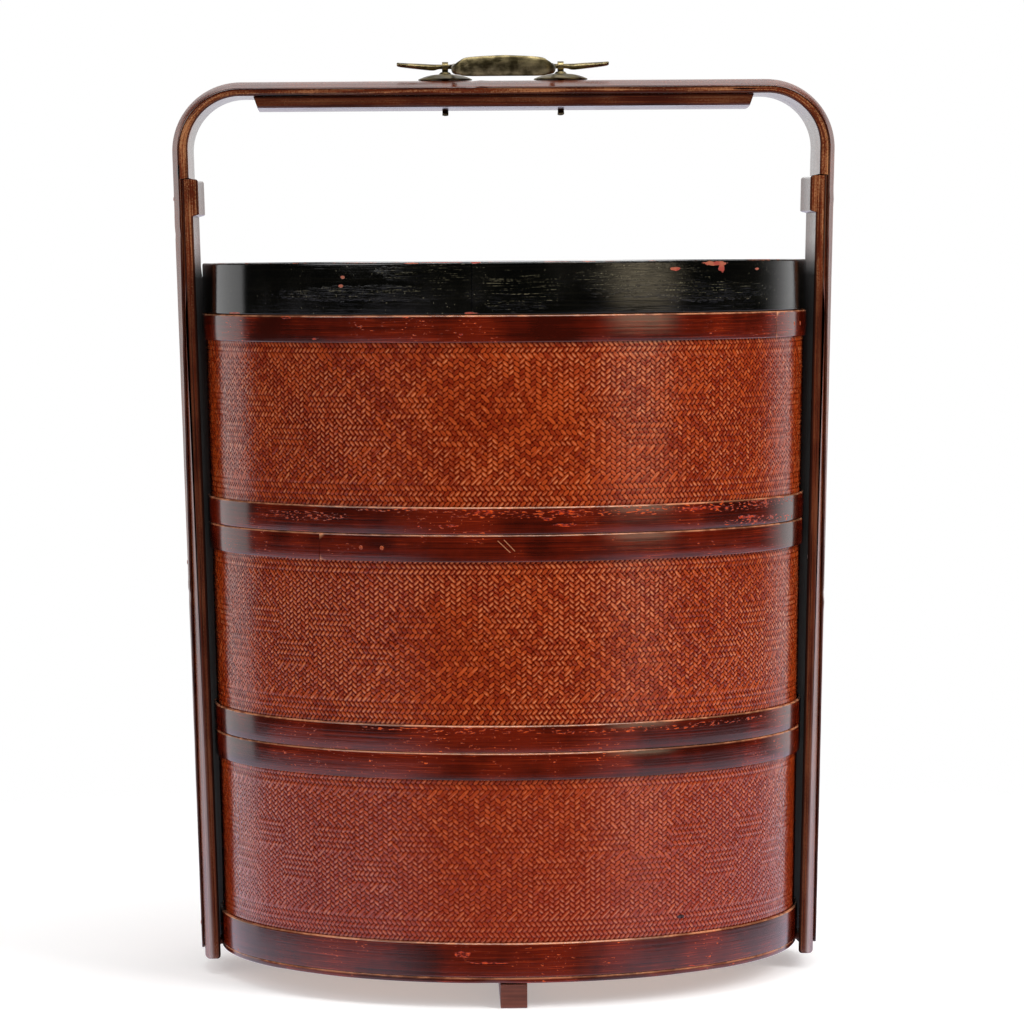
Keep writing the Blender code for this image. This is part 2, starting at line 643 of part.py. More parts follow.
def brass_handle(pivot):
    """Hammered bail handle, lying forward: tails and rods on the axis, arms, and a broad grip."""
    eye = EYE_SPACING / 2
    rod = PIN_STRIP_WIDTH / 2 + ROD_RADIUS
    arm = eye - ARM_INSET - ROD_RADIUS
    front = ARM_LENGTH - GRIP_BOW
    wing_mid = (WING_REACH + eye) / 2
    neck = (ROD_RADIUS + ARM_HALF_HEIGHT) / 2
    grip_mid = (ARM_HALF_HEIGHT + GRIP_HALF_HEIGHT) / 2
    left = [
        # x, y, lift, half height, half thickness
        (-WING_REACH, 0.0, WING_LIFT, WING_HALF_THICK, WING_HALF_WIDTH / 2),
        (-WING_REACH + WING_HALF_WIDTH, 0.0, WING_LIFT, WING_HALF_THICK, WING_HALF_WIDTH),
        (-wing_mid, 0.0, WING_LIFT / 2, WING_HALF_THICK, WING_HALF_WIDTH),
        (-eye - rod, 0.0, 0.0, ROD_RADIUS, ROD_RADIUS),
        (-eye + rod, 0.0, 0.0, ROD_RADIUS, ROD_RADIUS),
        (-arm, -HANDLE_CORNER, 0.0, neck, ROD_RADIUS),
        (-arm, -front / 2, 0.0, ARM_HALF_HEIGHT, ARM_HALF_THICK),
        (-arm, -front + HANDLE_CORNER, -GRIP_SINK / 2, ARM_HALF_HEIGHT, ARM_HALF_THICK),
        (-arm + HANDLE_CORNER, -front, -GRIP_SINK, grip_mid, GRIP_HALF_THICK),
        (-arm / 2, -front - GRIP_BOW * HALF_BOW_SHARE, -GRIP_SINK, GRIP_HALF_HEIGHT, GRIP_HALF_THICK),
    ]
    middle = (0.0, -front - GRIP_BOW, -GRIP_SINK, GRIP_HALF_HEIGHT, GRIP_HALF_THICK)
    right = [(-x, y, lift, half_h, half_t) for x, y, lift, half_h, half_t in reversed(left)]
    path = smoothed(left + [middle] + right, HANDLE_STEPS)
    rings = []
    for i, (x, y, lift, half_height, half_thick) in enumerate(path):
        before, after = path[max(i - 1, 0)], path[min(i + 1, len(path) - 1)]
        along = Vector((after[0] - before[0], after[1] - before[1], 0.0)).normalized()
        aside = Vector((-along.y, along.x, 0.0))
        ring = []
        for k in range(HANDLE_SECTION_POINTS):
            angle = math.tau * k / HANDLE_SECTION_POINTS
            ring.append(Vector((x, y, lift)) + aside * (half_thick * math.cos(angle))
                        + Vector((0.0, 0.0, half_height * math.sin(angle))))
        rings.append(ring)
    return loft("brass_handle", rings, BRASS, pivot)


def lid(parent, offset):
    """Box lid: band, crowned panel, batten, and a lining whose foot hangs into the mouth below."""
    carrier = empty("lid", parent, (0.0, 0.0, offset))
    top = LID_HEIGHT
    low = GAP
    band_inside = LID_RADIUS - LID_BAND_THICK
    eased = LID_EDGE_ROUND * (1 - math.cos(math.pi / 4))
    turned("lid_band", [
        (LID_RADIUS - LID_EDGE_ROUND, top), (LID_RADIUS - eased, top - eased),
        (LID_RADIUS, top - LID_EDGE_ROUND), (LID_RADIUS, low), (band_inside, low), (band_inside, top)],
        LACQUER, carrier)
    panel_radius = band_inside - GAP
    panel_edge = top - LID_PANEL_SINK
    panel_low = panel_edge - LID_PANEL_THICK
    crown = []
    for k in range(LID_PANEL_STEPS + 1):
        share = k / LID_PANEL_STEPS
        crown.append((panel_radius * share, panel_edge + LID_PANEL_CROWN * (1 - share ** 2)))
    turned("lid_panel", crown + [(panel_radius, panel_low), (0.0, panel_low)], LACQUER, carrier, closed=False)
    lining_out = band_inside - GAP
    lining_in = lining_out - LID_LINING_THICK
    mouth = mouth_radius(RIM_Z) - GAP
    lip = mouth_radius(RIM_Z) - LIP_CLEARANCE
    inside = lip - FOOT_RING_WIDTH
    turned("lid_lining", [
        (lining_out, panel_low - GAP), (lining_out, low), (mouth, low), (lip, low - LIP_DROP),
        (inside, low - LIP_DROP), (inside, LID_RING_RISE), (lining_in, LID_RING_RISE),
        (lining_in, panel_low - GAP)], INSIDE, carrier)
    batten("lid_batten", lining_in, panel_low - GAP, carrier)
    return carrier


def build():
    root = empty("frame", None, (0.0, 0.0, 0.0))
    bail, splint, legs = frame_of_bamboo(root)
    rails(root, legs)
    brass_mounts(root, bail, splint)
    pivot = empty("handle_pivot", root, (0.0, 0.0, PIVOT_Z))
    brass_handle(pivot)

    bottom, bottom_ring = tier("bottom", root, BASE_Z, BASE_Z, BOTTOM_TIER_HEIGHT, "base_hoop",
                               BASE_HOOP_HEIGHT)
    half = SIDE_RAIL_WIDTH / 2 + GAP
    notch = box("side_rail_notch", (-BASE_RADIUS, -half, -LIP_DROP - OVERRUN), (BASE_RADIUS, half, GAP),
                None, bottom, cutter=True)
    cut(bottom_ring, notch)
    level = BASE_Z + BOTTOM_TIER_HEIGHT
    middle, _ = tier("middle", bottom, BOTTOM_TIER_HEIGHT, level, TIER_HEIGHT, "bottom_hoop", HOOP_HEIGHT)
    level += TIER_HEIGHT
    top, _ = tier("top", middle, TIER_HEIGHT, level, TIER_HEIGHT, "bottom_hoop", HOOP_HEIGHT)
    lid(top, TIER_HEIGHT)


build()
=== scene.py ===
import math

import bmesh
import bpy
import numpy as np
from mathutils import Matrix, Vector


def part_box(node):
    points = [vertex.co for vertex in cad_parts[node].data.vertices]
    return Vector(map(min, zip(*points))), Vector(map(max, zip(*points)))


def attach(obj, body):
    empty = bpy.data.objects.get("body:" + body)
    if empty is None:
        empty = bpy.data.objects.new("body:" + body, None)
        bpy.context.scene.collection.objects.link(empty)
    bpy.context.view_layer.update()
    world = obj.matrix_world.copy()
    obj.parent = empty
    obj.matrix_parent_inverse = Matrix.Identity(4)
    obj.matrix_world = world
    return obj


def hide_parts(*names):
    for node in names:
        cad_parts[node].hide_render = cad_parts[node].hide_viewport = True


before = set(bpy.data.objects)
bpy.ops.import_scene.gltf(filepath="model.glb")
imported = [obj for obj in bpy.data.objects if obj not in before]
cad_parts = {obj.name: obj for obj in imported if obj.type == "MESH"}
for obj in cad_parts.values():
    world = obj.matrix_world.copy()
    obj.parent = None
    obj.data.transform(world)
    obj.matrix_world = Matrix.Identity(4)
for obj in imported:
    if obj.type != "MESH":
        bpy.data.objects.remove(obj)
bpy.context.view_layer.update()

TAU = math.tau

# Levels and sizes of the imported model, in metres
GAP = 0.0003
RIM_RADIUS = 0.2056
BASE_RADIUS = 0.1972
BASE_Z = 0.0205
RIM_Z = 0.4470
HOOP_HEIGHT = 0.0175
BASE_HOOP_HEIGHT = 0.0223
HOOP_THICK = 0.0018
HOOP_LAP = math.radians(22.5)
FEATHER_SHARE = 0.33
SEAM_GAP = 0.0006
PEG_PROUD = 0.0005
PIN_PROUD = 0.0002
WALL_THICK = 0.0018
LINING_THICK = 0.0025
LIP_DROP = 0.0045
LIP_CLEARANCE = 0.0015
FOOT_RING_WIDTH = 0.0080
FOOT_RING_RISE = 0.0060
FLOOR_THICK = 0.0030
BATTEN_WIDTH = 0.0140
BATTEN_THICK = 0.0035
LID_RADIUS = 0.2050
LID_HEIGHT = 0.0336
LID_BAND_THICK = 0.0030
RAIL_HEIGHT = 0.0157
FOOT_RAIL_WIDTH = 0.0173
SIDE_RAIL_WIDTH = 0.0220
BAIL_TOP = RIM_Z + LID_HEIGHT + 0.1224
BAIL_BEND = 0.0470
BEND_Z = BAIL_TOP - BAIL_BEND
HEAD_TOP = BEND_Z - 0.0195
HEAD_BOTTOM = HEAD_TOP - 0.0245
LEAN = math.atan2(RIM_RADIUS - BASE_RADIUS + 0.0030, RIM_Z - BASE_Z)
STRIP_WIDTH = 0.0820
STRIP_CROWN = 0.0052
SKIN_THICK = 0.0020
SKIN_END = 0.0145
SKIN_END_WIDTH = 0.0340
SKIN_TAPER_TOP = HEAD_BOTTOM - 0.0120
SHOULDER_EDGE = 0.0072
TOP_EDGE = 0.0055
LEG_END = 0.0100
LEG_EDGE = 0.0034
LEG_HOLLOW = 0.0037
HEAD_EDGE = 0.0075
LEG_OUTSIDE = SKIN_THICK + GAP
SPLINT_WIDTH = 0.0780
SPLINT_EDGE = 0.0076
SPLINT_CROWN = 0.0015
PIVOT_Z = BAIL_TOP + 0.0095
EYE_X = 0.0392
ROD_RADIUS = 0.0016

# Each tier: its underside, its height, its low hoop, and the azimuths of the seams of its hoops
TIERS = {
    "bottom": (BASE_Z, 0.1455, "base_hoop", BASE_HOOP_HEIGHT, 142.5, -97.5),
    "middle": (BASE_Z + 0.1455, 0.1405, "bottom_hoop", HOOP_HEIGHT, -37.5, 120.0),
    "top": (BASE_Z + 0.2860, 0.1405, "bottom_hoop", HOOP_HEIGHT, 60.0, -150.0),
}

# The weave: splints of two slants, so many of each round a wall
SPLINTS = 360
SPLINT_RELIEF = 0.00055


class Value:
    """A shader socket that adds, multiplies and compares as a number does."""

    def __init__(self, finish, link):
        self.finish = finish
        self.link = link

    def _maths(self, operation, *others):
        return self.finish.node("ShaderNodeMath", {"operation": operation},
                                dict(enumerate((self, *others))))

    def __add__(self, other):
        return self._maths("ADD", other)

    def __sub__(self, other):
        return self._maths("SUBTRACT", other)

    def __rsub__(self, other):
        return self.finish.node("ShaderNodeMath", {"operation": "SUBTRACT"}, {0: other, 1: self})

    def __mul__(self, other):
        return self._maths("MULTIPLY", other)

    def __truediv__(self, other):
        return self._maths("DIVIDE", other)

    def __pow__(self, other):
        return self._maths("POWER", other)

    def __gt__(self, other):
        return self._maths("GREATER_THAN", other)

    def __lt__(self, other):
        return self._maths("LESS_THAN", other)

    def __abs__(self):
        return self._maths("ABSOLUTE")

    __radd__ = __add__
    __rmul__ = __mul__


class Nodes:
    """A node tree that is built up from expressions on its sockets."""

    def __init__(self, tree):
        self.tree = tree

    def node(self, kind, settings=None, values=None, output=0):
        """Any node: its settings first, then the numbers or links of its sockets."""
        made = self.tree.nodes.new(kind)
        for key, setting in (settings or {}).items():
            if key == "stops":
                ramp = made.color_ramp
                while len(ramp.elements) < len(setting):
                    ramp.elements.new(0.5)
                for element, (place, colour) in zip(ramp.elements, setting):
                    element.position = place
                    element.color = (*colour, 1.0)
            else:
                setattr(made, key, setting)
        for key, value in (values or {}).items():
            if isinstance(value, Value):
                self.tree.links.new(value.link, made.inputs[key])
            else:
                made.inputs[key].default_value = value
        return Value(self, made.outputs[output])

    def place(self):
        """Object coordinates."""
        return self.node("ShaderNodeTexCoord", output="Object")

    def attribute(self, name):
        return self.node("ShaderNodeAttribute", {"attribute_name": name}, output="Fac")

    def uv(self, name):
        return self.node("ShaderNodeUVMap", {"uv_map": name})

    def axes(self, vector):
        """The three numbers of a vector."""
        parts = self.node("ShaderNodeSeparateXYZ", None, {0: vector})
        outputs = parts.link.node.outputs
        return [Value(self, outputs[k]) for k in range(3)]

    def vector(self, x, y, z):
        return self.node("ShaderNodeCombineXYZ", None, {0: x, 1: y, 2: z})

    def stretched(self, vector, x, y, z):
        return self.node("ShaderNodeVectorMath", {"operation": "MULTIPLY"}, {0: vector, 1: (x, y, z)})

    def noise(self, vector, scale, detail=3.0, roughness=0.5):
        return self.node("ShaderNodeTexNoise", None, {
            "Vector": vector, "Scale": scale, "Detail": detail, "Roughness": roughness})

    def eased(self, value, low, high):
        """0 below low, 1 above high and a smooth rise between; falls where high is the lower one."""
        start, end = (0.0, 1.0) if low < high else (1.0, 0.0)
        return self.node("ShaderNodeMapRange", {"interpolation_type": "SMOOTHSTEP"}, {
            "Value": value, "From Min": min(low, high), "From Max": max(low, high),
            "To Min": start, "To Max": end})

    def mixed(self, share, first, second):
        """Two colours, each a colour in sRGB numbers or a link."""
        values = {"Factor": share}
        for key, colour in (("A", first), ("B", second)):
            values[key] = colour if isinstance(colour, Value) else (*colour, 1.0)
        made = self.tree.nodes.new("ShaderNodeMix")
        made.data_type = "RGBA"
        for key, value in values.items():
            target = [s for s in made.inputs if s.name == key and s.type in (
                ("RGBA",) if key in "AB" else ("VALUE",))][0]
            if isinstance(value, Value):
                self.tree.links.new(value.link, target)
            else:
                target.default_value = value
        result = [s for s in made.outputs if s.type == "RGBA"][0]
        return Value(self, result)

    def window(self, value, middle, half, soft):
        """1 within half of the middle, easing to 0 over soft more."""
        return self.eased(abs(value - middle), half + soft, half)

    def most(self, first, second):
        return self.node("ShaderNodeMath", {"operation": "MAXIMUM"}, {0: first, 1: second})

    def patches(self, place, marks, fray, beyond=0.0):
        """1 inside ellipses (x, z, half width, half height) on the front, so far from the axis, their outlines
        frayed by noise."""
        x, y, z = self.axes(place)
        torn = (self.noise(self.stretched(place, 200.0, 200.0, 420.0), 1.0, 4.0) - 0.5) * (4.0 * fray)
        total = None
        for middle_x, middle_z, half_x, half_z in marks:
            across, up = (x - middle_x) / half_x, (z - middle_z) / half_z
            inside = self.eased(across * across + up * up + torn, 1.15, 0.85)
            total = inside if total is None else self.most(total, inside)
        return total * (y < 0.0) * (x * x + y * y > beyond ** 2)

    def scored(self, place, lines, width, beyond):
        """1 on straight scratches from (x, z) to (x, z) on the front, so far from the axis."""
        x, y, z = self.axes(place)
        total = 0.0
        for start_x, start_z, end_x, end_z in lines:
            length = math.hypot(end_x - start_x, end_z - start_z)
            way_x, way_z = (end_x - start_x) / length, (end_z - start_z) / length
            along = (x - start_x) * way_x + (z - start_z) * way_z
            off = abs((x - start_x) * way_z - (z - start_z) * way_x)
            total = (off < width) * (along > 0.0) * (along < length) + total
        return total * (y < 0.0) * (x * x + y * y > beyond ** 2)

    def bumped(self, height, distance, strength=1.0):
        return self.node("ShaderNodeBump", None, {
            "Strength": strength, "Distance": distance, "Height": height})


class Finish(Nodes):
    """A material: its shader, the constants on it, and what is fed to it."""

    def __init__(self, name, **constants):
        self.material = bpy.data.materials.new(name)
        self.material.use_nodes = True
        super().__init__(self.material.node_tree)
        self.tree.nodes.clear()
        self.shader = self.tree.nodes.new("ShaderNodeBsdfPrincipled")
        for socket, number in constants.items():
            self.shader.inputs[socket.replace("_", " ")].default_value = number
        self.output = self.tree.nodes.new("ShaderNodeOutputMaterial")
        self.tree.links.new(self.shader.outputs[0], self.output.inputs["Surface"])

    def matte_where(self, share, colour):
        """Where share is 1 the surface loses its gloss and shows only the colour."""
        dull = self.tree.nodes.new("ShaderNodeBsdfPrincipled")
        dull.inputs["Roughness"].default_value = 0.8
        dull.inputs["Specular IOR Level"].default_value = 0.0
        self.tree.links.new(colour.link, dull.inputs["Base Color"])
        mix = self.tree.nodes.new("ShaderNodeMixShader")
        self.tree.links.new(share.link, mix.inputs[0])
        self.tree.links.new(self.shader.outputs[0], mix.inputs[1])
        self.tree.links.new(dull.outputs[0], mix.inputs[2])
        self.tree.links.new(mix.outputs[0], self.output.inputs["Surface"])

    def feed(self, **links):
        for socket, value in links.items():
            self.tree.links.new(value.link, self.shader.inputs[socket.replace("_", " ")])


def shade(red, green, blue):
    """A colour of 0 to 255 as a picture holds it, made linear."""
    return tuple(((c / 255 + 0.055) / 1.055) ** 2.4 if c > 10 else c / 255 / 12.92
                 for c in (red, green, blue))


def hashed(index, salt):
    """A steady number from 0 to 1 for each whole number: the fraction of a large sine."""
    value = np.sin(np.asarray(index, float) * 12.9898 + salt * 78.233) * 43758.5453
    return value - np.floor(value)


CHANCE = np.random.default_rng(20).random(4 * SPLINTS)


def waver(angle, seed, waves=(2, 3, 5, 8, 13)):
    """Slow unevenness from -1 to 1 round a turn: whole waves of falling size, each at its own phase."""
    total = sum(np.sin(n * angle + TAU * hashed(n, seed)) / n for n in waves)
    return total / sum(1 / n for n in waves)


def edge_fall(distance, radius):
    """How far a rounded edge lies below the face, so far in from the edge: a quarter circle."""
    inward = radius - np.minimum(distance, radius)
    return radius - np.sqrt(np.maximum(radius ** 2 - inward ** 2, 0.0))


def body_radius(height):
    """Outside of the hoops at a height: a straight line from the base to the rim."""
    return BASE_RADIUS + (RIM_RADIUS - BASE_RADIUS) * (height - BASE_Z) / (RIM_Z - BASE_Z)


def wall_radius(height):
    return body_radius(height) - HOOP_THICK - GAP


def lining_radius(height):
    return wall_radius(height) - WALL_THICK - GAP


def mouth_radius(height):
    return lining_radius(height) - LINING_THICK


def add_piece(name, points, faces, look, body, nodes, marks=None, sharp=40.0, weld=False):
    """A mesh piece on its body. Its faces are turned outwards if the volume they close is negative."""
    points = np.asarray(points, float).reshape(-1, 3)
    volume = 0.0
    for face in faces:
        face = np.atleast_2d(face)
        corner = points[face[:, 0]]
        for k in range(1, face.shape[1] - 1):
            volume += np.einsum("ij,ij->", corner, np.cross(points[face[:, k]], points[face[:, k + 1]]))
    turn = -1 if volume < 0 else 1
    listed = [corners[::turn] for face in faces for corners in np.atleast_2d(face).tolist()]
    mesh = bpy.data.meshes.new(name)
    mesh.from_pydata(points.tolist(), [], listed)
    for mark, values in (marks or {}).items():
        layer = mesh.attributes.new(mark, "FLOAT", "POINT")
        layer.data.foreach_set("value", np.asarray(values, np.float32).ravel())
    if weld:
        bm = bmesh.new()
        bm.from_mesh(mesh)
        bmesh.ops.remove_doubles(bm, verts=bm.verts, dist=0.000002)
        bm.to_mesh(mesh)
        bm.free()
    mesh.shade_smooth()
    if sharp:
        mesh.set_sharp_from_angle(angle=math.radians(sharp))
    mesh.materials.append(look.material)
    piece = bpy.data.objects.new(name, mesh)
    bpy.context.scene.collection.objects.link(piece)
    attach(piece, body)
    if nodes:
        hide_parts(*nodes)
    return piece


def skin(rings, loop=False):
    """Faces over rings of equally many points, rings[i, k]. The last ring joins the first or both are capped."""
    count, around = rings.shape[:2]
    index = np.arange(count * around).reshape(count, around)
    near = index if loop else index[:-1]
    far = np.roll(index, -1, 0) if loop else index[1:]
    quads = np.stack([near, np.roll(near, -1, 1), np.roll(far, -1, 1), far], -1).reshape(-1, 4)
    return [quads] if loop else [quads, index[0][::-1], index[-1]]


def turned(name, profile, look, body, nodes, segments=192, uneven=None, marks=None, sharp=40.0):
    """A closed profile of (radius, height) carried round the axis; uneven(angle, profile) adds to the radius."""
    profile = np.asarray(profile, float)
    angle = np.arange(segments)[:, None] * TAU / segments
    radius = profile[None, :, 0] + (uneven(angle, profile) if uneven else 0.0 * angle)
    rings = np.stack([radius * np.sin(angle), -radius * np.cos(angle),
                      np.broadcast_to(profile[None, :, 1], radius.shape)], -1)
    told = {key: np.broadcast_to(np.asarray(value)[None, :], radius.shape)
            for key, value in (marks or {}).items()}
    pole = bool((profile[:, 0] < 1e-9).any())
    return add_piece(name, rings, skin(rings, loop=True), look, body, nodes, told, sharp, weld=pole)


def rounded_profile(corners, radii, steps=4):
    """A polygon's corners rounded: each corner becomes a quadratic curve between points radius away from it."""
    corners = [np.asarray(corner, float) for corner in corners]
    line = []
    for k, corner in enumerate(corners):
        radius = radii[k] if np.ndim(radii) else radii
        if radius == 0:
            line.append(corner)
            continue
        before, after = corners[k - 1], corners[(k + 1) % len(corners)]
        start = corner + (before - corner) / np.linalg.norm(before - corner) * radius
        end = corner + (after - corner) / np.linalg.norm(after - corner) * radius
        for t in np.linspace(0, 1, steps + 1):
            line.append((1 - t) ** 2 * start + 2 * t * (1 - t) * corner + t ** 2 * end)
    return np.array(line)


# Finishes


def weave_finish():
    """Lacquered splints: along and across each splint from one UV map, end of its float and tint from another.

    Where a splint dives or meets the next one a painted shade darkens it; along the ridge of a float a pale tan is part
    wear and part painted highlight.
    """
    look = Finish("lacquered_woven_splits", IOR=1.5, Specular_IOR_Level=0.0, Coat_Roughness=0.18, Coat_IOR=1.5)
    run, across, _ = look.axes(look.uv("splint"))
    end, tint, _ = look.axes(look.uv("float"))
    place = look.place()
    x, y, z = look.axes(place)
    fibre = look.noise(look.vector(run * 90.0, across * 5.0, tint * 40.0), 1.0, 2.0)
    patch = look.noise(place, 210.0, 2.0)
    slow = look.noise(place, 14.0, 3.0)
    edge = abs(across * 2.0 - 1.0)
    reach = edge * edge + (1.0 - end) * (1.0 - end)
    # grain is 1 on the open middle of a float and 0 at its edges and ends, where a painted shade of dark red fills the
    # crevices
    grain = look.eased(reach, 1.45, 0.55)
    body = look.mixed(look.eased(tint * 0.5 + patch * 0.5 + fibre * 0.3, 0.35, 0.95),
                      shade(128, 36, 9), shade(172, 66, 22))
    redder = look.eased(z, 0.19, 0.05) * 0.5 + look.eased(slow, 0.45, 0.7) * 0.4
    body = look.mixed(redder, body, shade(140, 42, 20))
    calm = look.eased(z, 0.17, 0.14)
    # Painted shade in the crevices, lighter on the lowest tier
    colour = look.mixed(grain, look.mixed(calm * 0.45, shade(64, 9, 2), shade(112, 30, 12)), body)
    # A pale tan along one side of each float's ridge: part wear, part painted highlight, weaker on the lowest tier
    ridge = look.eased(abs(across - 0.42), 0.30, 0.08) * look.eased(end, 0.2, 0.6)
    wear_and_highlight = ridge * look.eased(patch * 0.5 + fibre * 0.5 + (slow - 0.5) * 0.5, 0.47, 0.60)
    colour = look.mixed(wear_and_highlight * (0.66 - calm * 0.30), colour, shade(212, 130, 82))
    knot = look.patches(place, [(0.1095, 0.054, 0.0022, 0.0013)], 0.3)
    colour = look.mixed(knot, colour, shade(44, 10, 6))
    look.feed(Base_Color=colour)
    look.feed(Roughness=0.35 + fibre * 0.2, Coat_Weight=grain * (0.62 + patch * 0.8 + calm * 0.3))
    look.feed(Normal=look.bumped(grain * 0.9 + (1.0 - reach * 0.5) * 0.4 + fibre * 0.1, 0.0007, 0.9))
    return look


HOOP_FLECKS = [(0.0200, 0.3192, 0.0600, 0.0024), (0.0900, 0.3205, 0.0400, 0.0034), (0.1480, 0.3212, 0.0420, 0.0040),
               (0.1650, 0.3095, 0.0260, 0.0030), (-0.0500, 0.3222, 0.0500, 0.0016), (-0.1350, 0.3170, 0.0300, 0.0030),
               (-0.0300, 0.1805, 0.0700, 0.0020), (0.0900, 0.1790, 0.0800, 0.0016)]
HOOP_SCORES = [(-0.0085, 0.3025, -0.0005, 0.2949), (-0.0045, 0.3031, 0.0025, 0.2957)]
HOOP_WEAR = [(-0.0170, 0.3212, 0.0075, 0.0014), (0.0345, 0.3205, 0.0080, 0.0016), (0.0240, 0.3160, 0.0030, 0.0009),
             (-0.0580, 0.3114, 0.0016, 0.0012), (-0.0400, 0.3121, 0.0070, 0.0007), (0.0345, 0.3122, 0.0065, 0.0010),
             (0.1250, 0.3200, 0.0160, 0.0010), (0.1560, 0.3125, 0.0060, 0.0012), (-0.1445, 0.4454, 0.0032, 0.0011),
             (-0.1250, 0.4318, 0.0022, 0.0009), (-0.0665, 0.4459, 0.0022, 0.0010), (-0.0310, 0.4345, 0.0016, 0.0008),
             (-0.0325, 0.0355, 0.0048, 0.0022), (-0.0135, 0.0300, 0.0120, 0.0007), (0.1155, 0.0205, 0.0030, 0.0012)]


def hoop_finish():
    """Red-brown lacquer over split bamboo bent round: faint streaks along it, chips, and a cream line along its edges
    that is part wear and part painted highlight.
    """
    look = Finish("dark_hoop_lacquer", IOR=1.5)
    place = look.place()
    streak = look.noise(look.stretched(place, 8.0, 8.0, 900.0), 1.0, 3.0)
    cloud = look.noise(place, 20.0, 4.0)
    colour = look.mixed(look.eased(streak * 0.35 + cloud * 0.65, 0.38, 0.64), shade(50, 8, 2), shade(96, 21, 5))
    lines = look.noise(look.stretched(place, 30.0, 30.0, 2300.0), 1.0, 2.0)
    colour = look.mixed(look.eased(lines, 0.58, 0.68) * look.eased(cloud, 0.40, 0.60) * 0.6, colour, shade(158, 50, 18))
    edge = look.attribute("edge")
    crumbs = look.noise(look.stretched(place, 120.0, 120.0, 330.0), 1.0, 4.0)
    chips = look.eased(edge * 0.30 + crumbs * 0.75 + cloud * 0.40, 0.86, 0.90)
    placed = look.patches(place, HOOP_WEAR, 0.9, 0.1900)
    fine = look.noise(look.stretched(place, 300.0, 300.0, 1100.0), 1.0, 3.0)
    specks = look.eased(fine, 0.66, 0.70) * look.eased(cloud, 0.50, 0.60)
    flecks = look.patches(place, HOOP_FLECKS, 0.6, 0.1900) * look.eased(fine, 0.57, 0.62) * 0.85
    chips = look.most(look.most(chips, specks), look.most(placed * look.eased(fine, 0.46, 0.52), flecks))
    colour = look.mixed(chips, colour, look.mixed(look.eased(fine, 0.52, 0.70), shade(160, 38, 6),
                                                  shade(208, 78, 16)))
    # A cream line along the edges, strongest at the top: part wear, part painted highlight; the scratches join it
    pale_share = look.eased(edge, 0.32, 0.66) * (0.35 + look.eased(cloud * 0.5 + crumbs * 0.5, 0.44, 0.56) * 0.65)
    pale_share = look.most(pale_share, look.scored(place, HOOP_SCORES, 0.0003, 0.1900) * 0.55)
    colour = look.mixed(pale_share * 0.8, colour, shade(222, 150, 108))
    look.feed(Base_Color=colour)
    look.feed(Roughness=0.10 + cloud * 0.08 + chips * 0.08)
    look.feed(Normal=look.bumped(streak * 0.35 + crumbs * 0.25 - chips * 0.8, 0.0003, 0.35))
    return look


LID_CHIPS = [(-0.1065, 0.4713, 0.0016, 0.0010), (-0.1078, 0.4658, 0.0014, 0.0009), (0.1070, 0.4752, 0.0030, 0.0012),
             (0.1345, 0.4785, 0.0085, 0.0013), (0.1385, 0.4752, 0.0022, 0.0026), (0.1635, 0.4747, 0.0013, 0.0008),
             (-0.0210, 0.4803, 0.0030, 0.0008), (-0.0250, 0.4480, 0.0050, 0.0006), (-0.0440, 0.4806, 0.0140, 0.0004),
             (-0.0620, 0.4800, 0.0050, 0.0004), (-0.1800, 0.4479, 0.0040, 0.0006)]
LID_SCRATCHES = [(-0.085, 0.461, 0.062, 0.0050), (-0.048, 0.4735, 0.034, 0.0065), (0.004, 0.462, 0.030, 0.0120),
                 (0.128, 0.4610, 0.040, 0.0065), (0.086, 0.4690, 0.045, 0.0110)]


